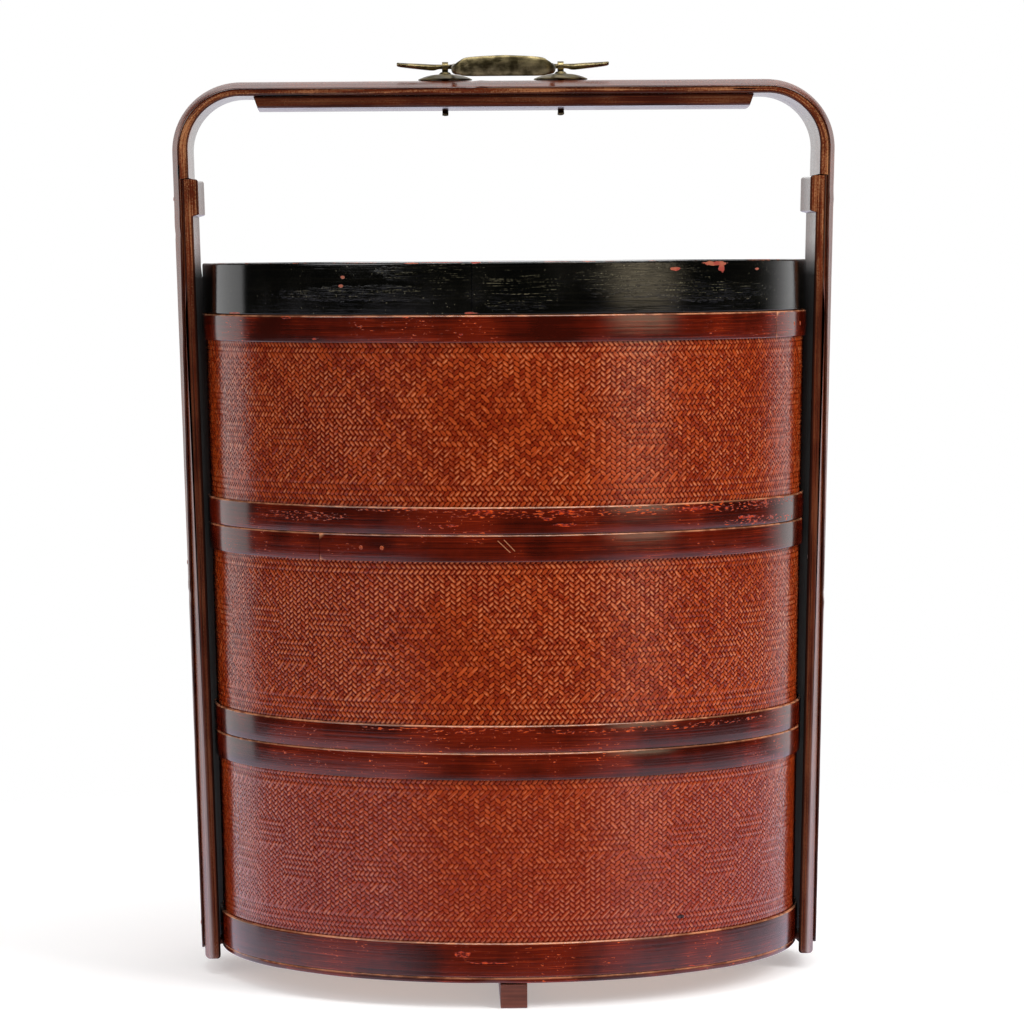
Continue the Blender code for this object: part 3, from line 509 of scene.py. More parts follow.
def lid_finish():
    """Black lacquer gone to a mirror in places, scratched pale along its length, chipped to the red under it."""
    look = Finish("black_lid_lacquer", IOR=1.5)
    place = look.place()
    x, y, z = look.axes(place)
    streak = look.noise(look.stretched(place, 6.0, 6.0, 700.0), 1.0, 3.0)
    cloud = look.noise(place, 26.0, 4.0)
    colour = look.mixed(look.eased(cloud, 0.35, 0.7), shade(4, 4, 3), shade(13, 12, 9))
    hair = look.noise(look.stretched(place, 55.0, 55.0, 3000.0), 1.0, 3.0)
    grit = look.noise(place, 700.0, 2.0)
    region = look.most(look.patches(place, LID_SCRATCHES, 0.7, 0.2046), look.eased(cloud, 0.60, 0.72) * 0.6)
    scratches = look.eased(hair, 0.60, 0.69) * look.eased(grit, 0.42, 0.58) * region
    speckles = look.eased(grit, 0.71, 0.76) * look.eased(cloud, 0.42, 0.56)
    on_top = look.eased(z, 0.4785, 0.4800)
    brushed = look.noise(look.stretched(place, 9.0, 420.0, 60.0), 1.0, 3.0)
    colour = look.mixed(look.eased(brushed, 0.45, 0.70) * look.eased(cloud, 0.35, 0.60) * on_top * 0.8, colour,
                        shade(40, 33, 26))
    colour = look.mixed(look.eased(streak, 0.50, 0.70) * (1.0 - on_top) * 0.5, colour, shade(22, 20, 15))
    marks = look.most(scratches * 0.5, speckles * 0.5)
    colour = look.mixed(marks, colour, shade(150, 142, 112))
    edge = look.attribute("edge")
    crumbs = look.noise(look.stretched(place, 130.0, 130.0, 200.0), 1.0, 4.0)
    chips = look.patches(place, LID_CHIPS, 0.9, 0.2030)
    rim = look.eased(edge * 0.5 + crumbs * 0.6 + cloud * 0.5, 1.04, 1.08)
    chips = look.most(chips, rim)
    seam = look.scored(place, [(-0.0238, 0.4810, -0.0240, 0.4475)], 0.0004, 0.2030)
    colour = look.mixed(seam, colour, shade(0, 0, 0))
    colour = look.mixed(chips, colour, look.mixed(look.eased(crumbs, 0.4, 0.6), shade(148, 56, 42), shade(160, 86, 60)))
    look.feed(Base_Color=colour)
    gloss = look.eased(cloud, 0.45, 0.75) * (0.16 - on_top * 0.10)
    look.feed(Roughness=0.085 + gloss + marks * 0.3 + chips * 0.45 + on_top * 0.08)
    relief = streak * 0.5 + hair * (0.35 + region * 0.5) + brushed * on_top * 0.6
    look.feed(Normal=look.bumped(relief - chips * 0.9 - marks * 0.4 - seam * 1.5, 0.0003, 0.32))
    return look


CULM_SPLITS = [(-0.2185, 0.5420, 0.0008, 0.0046), (-0.1480, 0.5926, 0.0200, 0.0005), (0.1620, 0.5950, 0.0080, 0.0005)]


def culm_finish():
    """Lacquered culm strip from its own measure along, across and through: long fibres, tan where it is rubbed."""
    look = Finish("lacquered_culm", IOR=1.5)
    along, across, depth = look.axes(look.node("ShaderNodeAttribute", {"attribute_name": "strip_way"},
                                               output="Vector"))
    fibre = look.noise(look.vector(along * 9.0, across * 900.0, depth * 1500.0), 1.0, 3.0)
    cloud = look.noise(look.place(), 24.0, 4.0)
    colour = look.mixed(look.eased(fibre * 0.6 + cloud * 0.4, 0.36, 0.64), shade(70, 23, 9), shade(114, 44, 17))
    edge = look.attribute("edge")
    thread = look.noise(look.vector(along * 22.0, across * 1500.0, depth * 2600.0), 1.0, 2.0)
    cut = look.attribute("cut")
    speck = look.noise(look.place(), 900.0, 2.0)
    colour = look.mixed(look.eased(speck, 0.46, 0.64) * cut * 0.8, colour, shade(52, 18, 8))
    pale_share = look.eased(thread * 0.55 + cloud * 0.35 + speck * 0.3, 0.56, 0.70) * (0.14 + cut * 0.72)
    colour = look.mixed(pale_share, colour, shade(178, 118, 72))
    crack = look.eased(look.noise(look.vector(along * 6.0, across * 700.0, depth * 900.0), 1.0, 1.0), 0.30, 0.27)
    colour = look.mixed(crack * 0.8, colour, shade(24, 8, 4))
    # A painted shade darkens the strip along its edges, where it meets its neighbours
    colour = look.mixed(look.eased(edge, 0.35, 0.95) * 0.8, colour, shade(30, 9, 5))
    # A painted lilac sheen along the legs' outer front corners below the rim
    colour = look.mixed(look.attribute("corner") * 0.62, colour, shade(186, 166, 168))
    splits = look.patches(look.place(), CULM_SPLITS, 0.5)
    colour = look.mixed(splits, colour, shade(12, 4, 2))
    # A painted shade: the legs' inner faces below the lid turn dark and matte; the splint's sides and the legs' low
    # sides get the same dark matte colour in part
    hidden = look.attribute("hidden")
    dark = look.mixed(fibre, shade(22, 10, 8), shade(44, 24, 18))
    look.matte_where(look.most(hidden, look.attribute("dull")), look.mixed(look.eased(hidden, 0.0, 0.2), colour, dark))
    look.feed(Base_Color=colour)
    look.feed(Roughness=0.16 + pale_share * 0.2 + cloud * 0.10)
    look.feed(Normal=look.bumped(fibre * 0.6 + thread * 0.4 - crack, 0.0003, 0.45))
    return look


def plain_finish(name, base, deep):
    """Bare bamboo inside and under the basket: streaks along X, darker rays between them."""
    look = Finish(name, IOR=1.45)
    place = look.place()
    grain = look.noise(look.stretched(place, 14.0, 420.0, 420.0), 1.0, 3.0)
    pores = look.noise(look.stretched(place, 60.0, 1500.0, 1500.0), 1.0, 2.0)
    cloud = look.noise(place, 26.0, 4.0)
    colour = look.mixed(look.eased(grain * 0.6 + cloud * 0.5, 0.35, 0.75), deep, base)
    colour = look.mixed(look.eased(pores, 0.60, 0.70) * 0.5, colour, deep)
    look.feed(Base_Color=colour)
    look.feed(Roughness=0.45 + cloud * 0.25)
    look.feed(Normal=look.bumped(grain * 0.7 + pores * 0.3, 0.0003, 0.4))
    return look


def brass_finish():
    """Old brass: gold where it is handled, olive brown in soft clouds, a fine brushed grain."""
    look = Finish("aged_brass", Metallic=1.0)
    place = look.place()
    cloud = look.noise(place, 130.0, 4.0)
    fine = look.noise(look.stretched(place, 160.0, 700.0, 700.0), 1.0, 3.0)
    colour = look.mixed(look.eased(cloud * 0.8 + fine * 0.2, 0.34, 0.72), shade(66, 58, 36), shade(156, 142, 104))
    spots = look.eased(look.noise(place, 260.0, 3.0), 0.60, 0.70)
    colour = look.mixed(spots * 0.4, colour, shade(70, 56, 38))
    look.feed(Base_Color=colour)
    look.feed(Roughness=0.34 + cloud * 0.18 + spots * 0.15)
    look.feed(Normal=look.bumped(cloud * 0.8 + fine * 0.1, 0.0006, 0.3))
    return look


def peg_finish():
    """End grain of a bamboo dowel under thin lacquer."""
    look = Finish("peg_end_grain", IOR=1.45)
    cloud = look.noise(look.place(), 900.0, 3.0)
    look.feed(Base_Color=look.mixed(look.eased(cloud, 0.35, 0.65), shade(128, 44, 16), shade(184, 84, 36)))
    look.feed(Roughness=0.35 + cloud * 0.2)
    return look


WEAVE = weave_finish()
HOOPS = hoop_finish()
LID_LACQUER = lid_finish()
BAIL = culm_finish()
INSIDE = plain_finish("plain_bamboo_strip", shade(176, 124, 78), shade(136, 88, 52))
RAILS = plain_finish("stained_bamboo_rail", shade(112, 58, 44), shade(76, 36, 26))
BRASS = brass_finish()
PEGS = peg_finish()


# Woven walls


def rising_on_top(i, j, rows_high):
    """Whether the rising splint j lies over the falling splint i where they cross.

    Both floats are two crossings long. Where i + j counts the step the twill lines run level, and
    where i - j does they run upright. Levels and azimuths of a crossing follow from its two numbers.
    """
    up = (i + j + 1) / 2
    around = (i - j) / 2
    share = up / rows_high
    upright = (share > 0.165) & (share < 0.90)
    wave = np.floor(np.mod(around + 4.5, 18.0) / 9.0)
    high_cell = (share > 0.515) & (share < 0.70) & (wave < 1)
    low_cell = (share > 0.33) & (share <= 0.515) & (wave >= 1)
    upright &= ~(high_cell | low_cell)
    return np.where(upright, np.mod(i - j, 4) < 2, np.mod(i + j, 4) < 2)


def woven_wall(tier, level, height, low_hoop_height):
    """A bias twill wall between two hoops, closed round a plain inner face.

    The grid has a point at each crossing's corners, middle and edge middles: along each row the
    azimuth steps by half a splint and every other row is shifted by half a step. The height of a
    point is nought on a float, and lower where splints of one slant meet or one dives under.
    """
    bottom, top = level, level + height - GAP
    first = level + low_hoop_height - 0.0012
    last = top - HOOP_HEIGHT + 0.0012
    pitch = TAU * wall_radius((first + last) / 2) / SPLINTS
    rows_high = (last - first) / pitch
    rows = int(round(rows_high * 4))
    r = np.arange(rows + 1)[:, None]
    s = 2 * np.arange(2 * SPLINTS)[None, :] + r % 2
    a, b = (r + s) // 2, (r - s) // 2
    i, j = a // 2, b // 2

    def over(p, q):
        return rising_on_top(p, q, rows_high)

    here, beside, below = over(i, j), over(i - 1, j), over(i, j - 1)
    on_i, on_j = a % 2 == 0, b % 2 == 0
    depth = np.zeros(a.shape)
    meet, dive, corner = 0.75, 0.60, 1.0
    both, none = here & beside, ~here & ~beside
    depth = np.where(on_i & ~on_j, np.where(both, -0.10, np.where(none, meet, dive)), depth)
    both, none = ~here & ~below, here & below
    depth = np.where(on_j & ~on_i, np.where(both, -0.10, np.where(none, meet, dive)), depth)
    depth = np.where(on_i & on_j, corner, depth)
    depth = depth + 0.25 * (CHANCE[np.mod(i, SPLINTS)] + CHANCE[np.mod(j, SPLINTS) + SPLINTS] - 1) * (depth < 0.5)
    z = first + (last - first) * r / rows + 0 * s
    angle = TAU * s / (4 * SPLINTS)
    bulge = 0.00025 * waver(angle, level) * np.sin(np.pi * r / rows)
    radius = wall_radius(z) - 0.0003 + bulge - SPLINT_RELIEF * depth
    rounds = [np.stack([radius * np.sin(angle), -radius * np.cos(angle), z], -1).reshape(-1, 3)]

    index = np.arange(a.size).reshape(a.shape)
    inner = index[1:-1]
    shift = (r[1:-1] % 2)
    k = np.arange(2 * SPLINTS)[None, :]
    beside_k = (k + shift) % (2 * SPLINTS)
    under = np.take_along_axis(index[:-2], beside_k, 1)
    above = np.take_along_axis(index[2:], beside_k, 1)
    quads = np.stack([inner, under, np.roll(inner, -1, 1), above], -1).reshape(-1, 4)

    # UV maps: along and across the splint on top, then nearness to its float's end and its tint
    middle_a = (a[1:-1] + 0.5) / 2
    middle_b = (b[1:-1] - 0.5) / 2
    ci, cj = np.floor(middle_a), np.floor(middle_b)
    top_here = over(ci, cj)
    corner_a = np.stack([a[1:-1], a[1:-1], a[1:-1] + 1, a[1:-1] + 1], -1)
    corner_b = np.stack([b[1:-1], b[1:-1] - 1, b[1:-1] - 1, b[1:-1]], -1)
    frac_a = corner_a / 2 - ci[..., None]
    frac_b = corner_b / 2 - cj[..., None]
    rises = top_here[..., None]
    along = np.where(rises, frac_a, frac_b)
    across = np.where(rises, frac_b, frac_a)
    before = np.where(top_here, over(ci - 1, cj), ~over(ci, cj - 1))[..., None]
    after = np.where(top_here, over(ci + 1, cj), ~over(ci, cj + 1))[..., None]
    end = np.minimum(np.where(before, 1 + along, along), np.where(after, 2 - along, 1 - along))
    number = np.where(top_here, np.mod(cj, SPLINTS), np.mod(ci, SPLINTS) + SPLINTS).astype(int)
    tint = CHANCE[number + int(level * 1000) % SPLINTS][..., None] + 0 * along
    start = np.where(top_here, ci, cj)[..., None]
    maps = {"splint": np.stack([(start + along) * pitch * 0.7 + tint, across], -1).reshape(-1, 2),
            "float": np.stack([np.clip(end, 0, 1), tint], -1).reshape(-1, 2)}

    # Hems: from the lowest and highest zigzag round the inner face
    def zigzag(edge_row, next_row):
        rim = np.empty(4 * SPLINTS, int)
        for row in (edge_row, next_row):
            rim[s[row] % (4 * SPLINTS)] = index[row]
        return rim

    turn = TAU * np.arange(4 * SPLINTS) / (4 * SPLINTS)
    rims = [zigzag(0, 1)]
    for z_at, inset in ((bottom, 0.0006), (bottom, WALL_THICK), (top, WALL_THICK), (top, 0.0006)):
        ring_radius = wall_radius(z_at) - inset
        start_index = sum(len(part) for part in rounds)
        rounds.append(np.stack([ring_radius * np.sin(turn), -ring_radius * np.cos(turn),
                                np.full(turn.shape, z_at)], -1))
        rims.append(start_index + np.arange(len(turn)))
    rims.append(zigzag(rows, rows - 1))
    hems = []
    for upper, lower in zip(rims, rims[1:]):
        hems.append(np.stack([upper, lower, np.roll(lower, -1), np.roll(upper, -1)], -1))
    points = np.concatenate(rounds)
    piece = add_piece(tier + "_weave", points, [quads, *hems], WEAVE, tier + "_tier",
                      [tier + "_woven_wall"], sharp=None)
    for name, values in maps.items():
        layer = piece.data.uv_layers.new(name=name)
        filled = np.zeros((len(piece.data.loops), 2), np.float32)
        filled[:len(values)] = values
        layer.data.foreach_set("uv", filled.ravel())
    return piece


# Hoops


def lapped_hoop(name, level, bottom, top, seam_azimuth, body, node):
    """One strip bent round once, its shaved ends lying one over the other, carried round as a section.

    Round the turn the outer face drops by the thickness that the inner end lacks, and the inner
    face rises by the thickness that the outer end lacks. The section is a flat strip with rounded
    edges and a slight crown.
    """
    feather = HOOP_THICK * FEATHER_SHARE
    under = HOOP_THICK - feather - GAP
    seam = SEAM_GAP / body_radius(level)
    marks_at = [0, HOOP_LAP, HOOP_LAP + seam, TAU - seam, TAU, TAU + HOOP_LAP]
    angle = np.unique(np.concatenate([marks_at, np.linspace(0, TAU + HOOP_LAP, 255)]))[:, None]
    drop = np.interp(angle, marks_at, [HOOP_THICK - feather, HOOP_THICK - under, 0, 0, 0, 0])
    rise = np.interp(angle, marks_at, [0, 0, 0, 0, HOOP_THICK - under, HOOP_THICK - feather])
    high = top - bottom
    share = np.array([0.0, 0.006, 0.018, 0.04, 0.3, 0.5, 0.7, 0.93, 0.95, 0.968, 0.983, 0.994, 1.0])
    outer_z = bottom + high * share
    crown = 0.00012 * (1 - (2 * share - 1) ** 2)
    ease = edge_fall(high * (1 - share), 0.0012) + edge_fall(high * share, 0.0005)
    azimuth = math.radians(seam_azimuth) + HOOP_LAP - angle
    sag = 0.00015 * waver(azimuth, level + top)
    outside = body_radius(level + outer_z)[None, :] - 0.00012 + crown - ease - drop
    inner_z = bottom + high * np.array([1.0, 0.5, 0.0])
    inside = body_radius(level + inner_z)[None, :] - HOOP_THICK + rise
    radius = np.concatenate([outside, inside], 1)
    z = level + np.concatenate([outer_z, inner_z])[None, :] + 0 * angle
    z = np.clip(z + sag * (z > level + bottom + high * 0.5), level + bottom, level + top)
    rings = np.stack([radius * np.sin(azimuth), -radius * np.cos(azimuth), z], -1)
    # edge: nearness to the top and bottom edges and to the seam's tip, where the hoop finish chips and paints a cream
    # line, part wear and part painted highlight
    closeness = np.concatenate([np.exp(-(1 - share) * high / 0.0012) + 0.45 * np.exp(-share * high / 0.0010),
                                [0.3, 0.0, 0.3]])
    tip = 0.3 * np.exp(-np.abs(angle - (TAU + HOOP_LAP)) * BASE_RADIUS / 0.0010)
    edge = np.clip(closeness[None, :] + tip, 0, 1)
    return add_piece(name, rings, skin(rings), HOOPS, body, [node], {"edge": edge}, 35.0)


def peg(name, node, body, proud):
    """A dowel along the CAD peg's own line: a round profile with a domed head, carried along the line."""
    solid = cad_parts[node]
    points = np.array([vertex.co for vertex in solid.data.vertices], float)
    centre = points.mean(0)
    _, _, axes = np.linalg.svd(points - centre, full_matrices=False)
    along = axes[0]
    reach = (points - centre) @ along
    outward = centre if abs(along[2]) < 0.9 else np.array([0.0, 0.0, -1.0])
    if along @ outward < 0:
        along, reach = -along, -reach
    low, high = reach.min(), reach.max() + proud
    radius = np.linalg.norm((points - centre) - np.outer(reach, along), axis=1).max()
    side = np.cross(along, [0.0, 0.0, 1.0] if abs(along[2]) < 0.9 else [1.0, 0.0, 0.0])
    side /= np.linalg.norm(side)
    other = np.cross(along, side)
    stations = np.array([low, high - radius * 0.30, high - radius * 0.12, high - radius * 0.02, high])
    width = radius * np.array([1.0, 1.0, 0.92, 0.62, 0.25])
    turn = np.arange(16) * TAU / 16
    ring = np.cos(turn)[:, None] * side + np.sin(turn)[:, None] * other
    rings = centre + stations[:, None, None] * along + width[:, None, None] * ring[None]
    return add_piece(name, rings, skin(rings), PEGS, body, [node], None, 50.0)


# Insides of the tiers


def board(name, low, high, look, body, nodes, bevel=0.0006):
    """A straight bar between two corners: its rectangle carried along X, with rounded long edges and ends."""
    low, high = np.asarray(low, float), np.asarray(high, float)
    corners = [(low[1], low[2]), (high[1], low[2]), (high[1], high[2]), (low[1], high[2])]
    outline = rounded_profile(corners, bevel, 3)
    centre = (low[1:] + high[1:]) / 2
    inset = 1 - bevel / ((high[1:] - low[1:]) / 2)
    rings = []
    for x, scale in ((low[0], inset), (low[0] + bevel * 0.3, (1 + inset) / 2 + 0 * inset),
                     (low[0] + bevel, 1 + 0 * inset), (high[0] - bevel, 1 + 0 * inset),
                     (high[0] - bevel * 0.3, (1 + inset) / 2), (high[0], inset)):
        section = centre + (outline - centre) * scale
        rings.append(np.column_stack([np.full(len(section), x), section]))
    rings = np.array(rings)
    return add_piece(name, rings, skin(rings), look, body, nodes, None, 40.0)


def tier_inside(tier, level, height):
    """Lining, foot ring, floor and batten of a tier."""
    body = tier + "_tier"
    top = level + height - GAP
    turned(tier + "_lining_strip", rounded_profile([
        (lining_radius(top), top), (lining_radius(level), level), (mouth_radius(level), level),
        (mouth_radius(top), top)], [0.0004, 0.0002, 0.0002, 0.0007], 3),
        INSIDE, body, [tier + "_lining"])
    floor_bottom = level + FOOT_RING_RISE + GAP
    floor_top = floor_bottom + FLOOR_THICK
    mouth = min(mouth_radius(level), mouth_radius(floor_top))
    seat, lip = mouth - GAP, mouth - LIP_CLEARANCE
    inside = lip - FOOT_RING_WIDTH
    ring = tier + "_foot_ring"
    if tier != "bottom":
        turned(tier + "_foot_strip", rounded_profile([
            (seat, level + FOOT_RING_RISE), (seat, level), (lip, level - LIP_DROP),
            (inside, level - LIP_DROP), (inside, level + FOOT_RING_RISE)],
            [0.0003, 0.0004, 0.0009, 0.0009, 0.0003], 3), RAILS, body, [ring])
    else:
        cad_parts[ring].data.materials.clear()
        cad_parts[ring].data.materials.append(RAILS.material)
    turned(tier + "_floor_board", [(0.0, floor_top), (seat * 0.5, floor_top), (seat - 0.0004, floor_top),
                                   (seat, floor_top - 0.0004), (seat, floor_bottom), (seat * 0.5, floor_bottom),
                                   (0.0, floor_bottom)],
           INSIDE, body, [tier + "_floor_panel"])
    low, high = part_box(tier + "_floor_batten")
    board(tier + "_floor_bar", low, high, INSIDE, body, [tier + "_floor_batten"])


# Lid


def lid_pieces():
    low, top = RIM_Z + GAP, RIM_Z + LID_HEIGHT
    inside = LID_RADIUS - LID_BAND_THICK
    profile = rounded_profile([(LID_RADIUS, top), (LID_RADIUS, low), (inside, low), (inside, top)],
                              [0.0016, 0.0004, 0.0003, 0.0003], 5)
    high = top - low
    closeness = [math.exp(-(top - z) / 0.0014) * (r > LID_RADIUS - 0.002) + 0.5 * math.exp(-(z - low) / 0.001)
                 for r, z in profile]
    seam = math.radians(-6.5)

    def ply(angle, outline):
        """The band's outer end: a step down just past the seam, which eases out over a hand's breadth."""
        past = np.mod(seam - angle, TAU) * LID_RADIUS
        step = -0.0004 * np.exp(-past / 0.012)
        return step * (outline[None, :, 0] > LID_RADIUS - 0.0025)

    turned("lid_rim_band", profile, LID_LACQUER, "lid", ["lid_band"], 720, ply,
           {"edge": np.clip(closeness, 0, 1)})
    panel_radius = inside - GAP
    edge_z = top - 0.0015
    share = np.concatenate([np.linspace(0, 0.86, 14), np.linspace(0.87, 0.945, 21), np.linspace(0.955, 1, 5)])
    groove = 0.0005 * (np.exp(-((share - 0.93) / 0.006) ** 2) + np.exp(-((share - 0.885) / 0.006) ** 2))
    height = edge_z + 0.0020 * (1 - share ** 2) - groove - 0.0006 * (share > 0.998)
    crown = list(zip(panel_radius * share, height))
    under = edge_z - 0.0040
    turned("lid_top_board", crown + [(panel_radius, under), (panel_radius * 0.5, under), (0.0, under)],
           LID_LACQUER, "lid", ["lid_panel"], 240,
           marks={"edge": np.concatenate([0.8 * np.exp(-(1 - share) * panel_radius / 0.002), [0, 0, 0]])})
    lining_out = inside - GAP
    lining_in = lining_out - 0.0025
    mouth = mouth_radius(RIM_Z) - GAP
    lip = mouth_radius(RIM_Z) - LIP_CLEARANCE
    ring = lip - FOOT_RING_WIDTH
    turned("lid_lining_strip", rounded_profile([
        (lining_out, under - GAP), (lining_out, low), (mouth, low), (lip, low - LIP_DROP),
        (ring, low - LIP_DROP), (ring, low - GAP + 0.0060), (lining_in, low - GAP + 0.0060),
        (lining_in, under - GAP)], [0.0003, 0.0, 0.0004, 0.0008, 0.0008, 0.0006, 0.0, 0.0003], 3),
        INSIDE, "lid", ["lid_lining"])
    low_corner, high_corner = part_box("lid_batten")
    board("lid_bar", low_corner, high_corner, INSIDE, "lid", ["lid_batten"])


# Bail, legs and splint


def crown_drop(y):
    """How far the rounded side of the split culm lies below its crown: a power of the way across the strip."""
    return STRIP_CROWN * np.abs(y / (STRIP_WIDTH / 2)) ** 2.8


def leg_x(height):
    """Crown line of the bail along a leg: it leans out evenly."""
    share = (height - BASE_Z) / (RIM_Z - BASE_Z)
    return body_radius(height) + 0.0131 + 0.0030 * share


ACROSS = np.concatenate([-1 + 0.03 * (1 - np.cos(np.linspace(0, np.pi / 2, 5)[:-1])),
                         np.linspace(-0.97, 0.97, 33), 1 - 0.03 * (1 - np.cos(np.linspace(np.pi / 2, 0, 5)[1:]))])


def strip(name, points, normals, half_width, outside, inside, rounding, look, nodes, start=0.0,
          painted_shade_inside=0.0, dull_outside=0.0, rubbed=1.0,
          dark_sides=0.0, painted_corner_sheen=0.0):
    """A long strip in the XZ plane: its section, rounded outside and at the edges, carried along its crown line.

    outside(y, k) and inside(y, k) give the depth of its two faces under the crown line, at y from the
    middle and station k. The strip_way attribute holds the way along the line, across it and through
    it, in metres; edge is 1 at the corners of the section and falls off from them.
    """
    count = len(points)
    y = half_width[:, None] * ACROSS[None, :]
    station = np.arange(count)[:, None] + 0 * y.astype(int)
    fall = edge_fall(half_width[:, None] - np.abs(y), rounding)
    out = outside(y, station) + fall
    into = inside(y, station) - fall
    way = np.concatenate([[0], np.cumsum(np.linalg.norm(np.diff(points, axis=0), axis=1))]) + start
    share = np.array([0.15, 0.35, 0.5, 0.65, 0.85])
    thick = (into - out)[:, -1:]
    cut_y = half_width[:, None] + 0 * share
    down, up = out[:, -1:] + thick * share, into[:, :1] - thick * share
    across = np.concatenate([y, cut_y, y[:, ::-1], -cut_y], 1)
    depth = np.concatenate([out, down, into[:, ::-1], up], 1)
    rings = np.stack([points[:, :1] - normals[:, :1] * depth, across, points[:, 1:] - normals[:, 1:] * depth], -1)
    close = np.exp(-(half_width[:, None] - np.abs(y)) / 0.0012)
    cut = np.exp(-np.minimum(share, 1 - share) * thick / 0.0008)
    edge = np.concatenate([close, cut, close[:, ::-1] * 0.8, cut], 1)
    # The inner face's painted shade and the dark matte sides, marked for the finish
    dark = np.broadcast_to(painted_shade_inside, (count,))[:, None]
    sides = np.broadcast_to(dark_sides, (count,))[:, None] + 0 * cut
    hidden = np.concatenate([0 * y, sides, dark + 0 * y, sides], 1)
    calm = dull_outside * (1 - np.abs(ACROSS) ** 6)[None, :] + 0 * y
    dull = np.concatenate([calm, 0 * cut, 0 * y, 0 * cut], 1)
    sawn = np.broadcast_to(rubbed, (count,))[:, None] + 0 * cut
    sawn = np.concatenate([0 * y, sawn, 0 * y, sawn], 1)
    # A painted sheen at the outer front corner, marked as corner
    painted_corner_sheen = np.broadcast_to(painted_corner_sheen, (count,))[:, None]
    pale = painted_corner_sheen * np.exp(-((half_width[:, None] - np.abs(y)) / 0.0014) ** 2)
    near = painted_corner_sheen * np.exp(-(share * thick / 0.0011) ** 2)
    pale = np.concatenate([pale, near, 0 * y, near[:, ::-1]], 1)
    piece = add_piece(name, rings, skin(rings), look, "frame", nodes, {
        "edge": edge, "hidden": hidden, "dull": dull, "cut": sawn, "corner": pale}, 40.0)
    along = np.broadcast_to(way[:, None], edge.shape)
    layer = piece.data.attributes.new("strip_way", "FLOAT_VECTOR", "POINT")
    layer.data.foreach_set("vector", np.stack([along, across, depth], -1).astype(np.float32).ravel())
    return piece


def bail():
    """The bent strip: a shaved skin up each leg, a shoulder, then thick over the bends and the top."""
    shoulder = HEAD_TOP + GAP
    heights = np.concatenate([SKIN_END + 0.004 * (1 - np.cos(np.linspace(0, np.pi / 2, 6)))[:-1],
                              np.linspace(SKIN_END + 0.004, SKIN_TAPER_TOP, 150),
                              np.linspace(SKIN_TAPER_TOP, shoulder, 8)[1:],
                              [shoulder + 0.0006], np.linspace(shoulder + 0.0016, BEND_Z, 10)[:-1]])
    share = np.clip((heights - SKIN_END) / (SKIN_TAPER_TOP - SKIN_END), 0, 1)
    half = (SKIN_END_WIDTH + (STRIP_WIDTH - SKIN_END_WIDTH) * share) / 2
    half = half - 0.004 + np.sqrt(np.maximum(0.004 ** 2 - (0.004 - np.minimum(heights - SKIN_END, 0.004)) ** 2, 0))
    points = np.column_stack([leg_x(heights), heights])
    normal = np.array([math.cos(LEAN), -math.sin(LEAN)])
    normals = np.tile(normal, (len(heights), 1))
    thick = heights > shoulder + 0.0003
    centre = np.array([leg_x(BEND_Z) - BAIL_BEND / math.cos(LEAN), BEND_Z])
    turn = np.linspace(-LEAN, np.pi / 2, 30)
    bend_normals = np.column_stack([np.cos(turn), np.sin(turn)])
    bend = centre + bend_normals * BAIL_BEND
    flat_x = np.linspace(centre[0], 0, 60)[1:-1]
    flat = np.column_stack([flat_x, np.full(len(flat_x), BAIL_TOP)])
    points = np.concatenate([points, bend, flat])
    normals = np.concatenate([normals, bend_normals, np.tile([0.0, 1.0], (len(flat), 1))])
    edge = np.concatenate([np.full(len(heights), SHOULDER_EDGE), np.linspace(SHOULDER_EDGE, TOP_EDGE, 30),
                           np.full(len(flat), TOP_EDGE)])
    half = np.concatenate([half, np.full(len(bend) + len(flat), STRIP_WIDTH / 2)])
    thick = np.concatenate([thick, np.full(len(bend) + len(flat), True)])
    mirror = np.array([-1.0, 1.0])
    points = np.concatenate([points, (points * mirror)[::-1]])
    normals = np.concatenate([normals, (normals * mirror)[::-1]])
    edge, half, thick = (np.concatenate([v, v[::-1]]) for v in (edge, half, thick))

    way = np.concatenate([[0], np.cumsum(np.linalg.norm(np.diff(points, axis=0), axis=1))])
    rings_at = way[-1] / 2 + np.array([-0.56, -0.285, 0.015, 0.30, 0.545])
    ridge = sum(0.0003 * np.exp(-((way - at) / 0.0035) ** 2) - 0.00025 * np.exp(-((way - at - 0.006) / 0.003) ** 2)
                for at in rings_at)

    def outside(y, k):
        grooves = 0.00004 * (np.sin(y * 2100 + 1.3 * np.sin(k * 0.05)) + np.sin(y * 3700 + 2.0))
        return crown_drop(y) + 0.0003 - grooves - ridge[k]

    def inside(y, k):
        return np.where(thick[k], STRIP_CROWN + edge[k], crown_drop(y) + SKIN_THICK)

    strip("bail_bent_strip", points, normals, half, outside, inside, 0.0009, BAIL, ["bail_strip"],
          dull_outside=0.5)


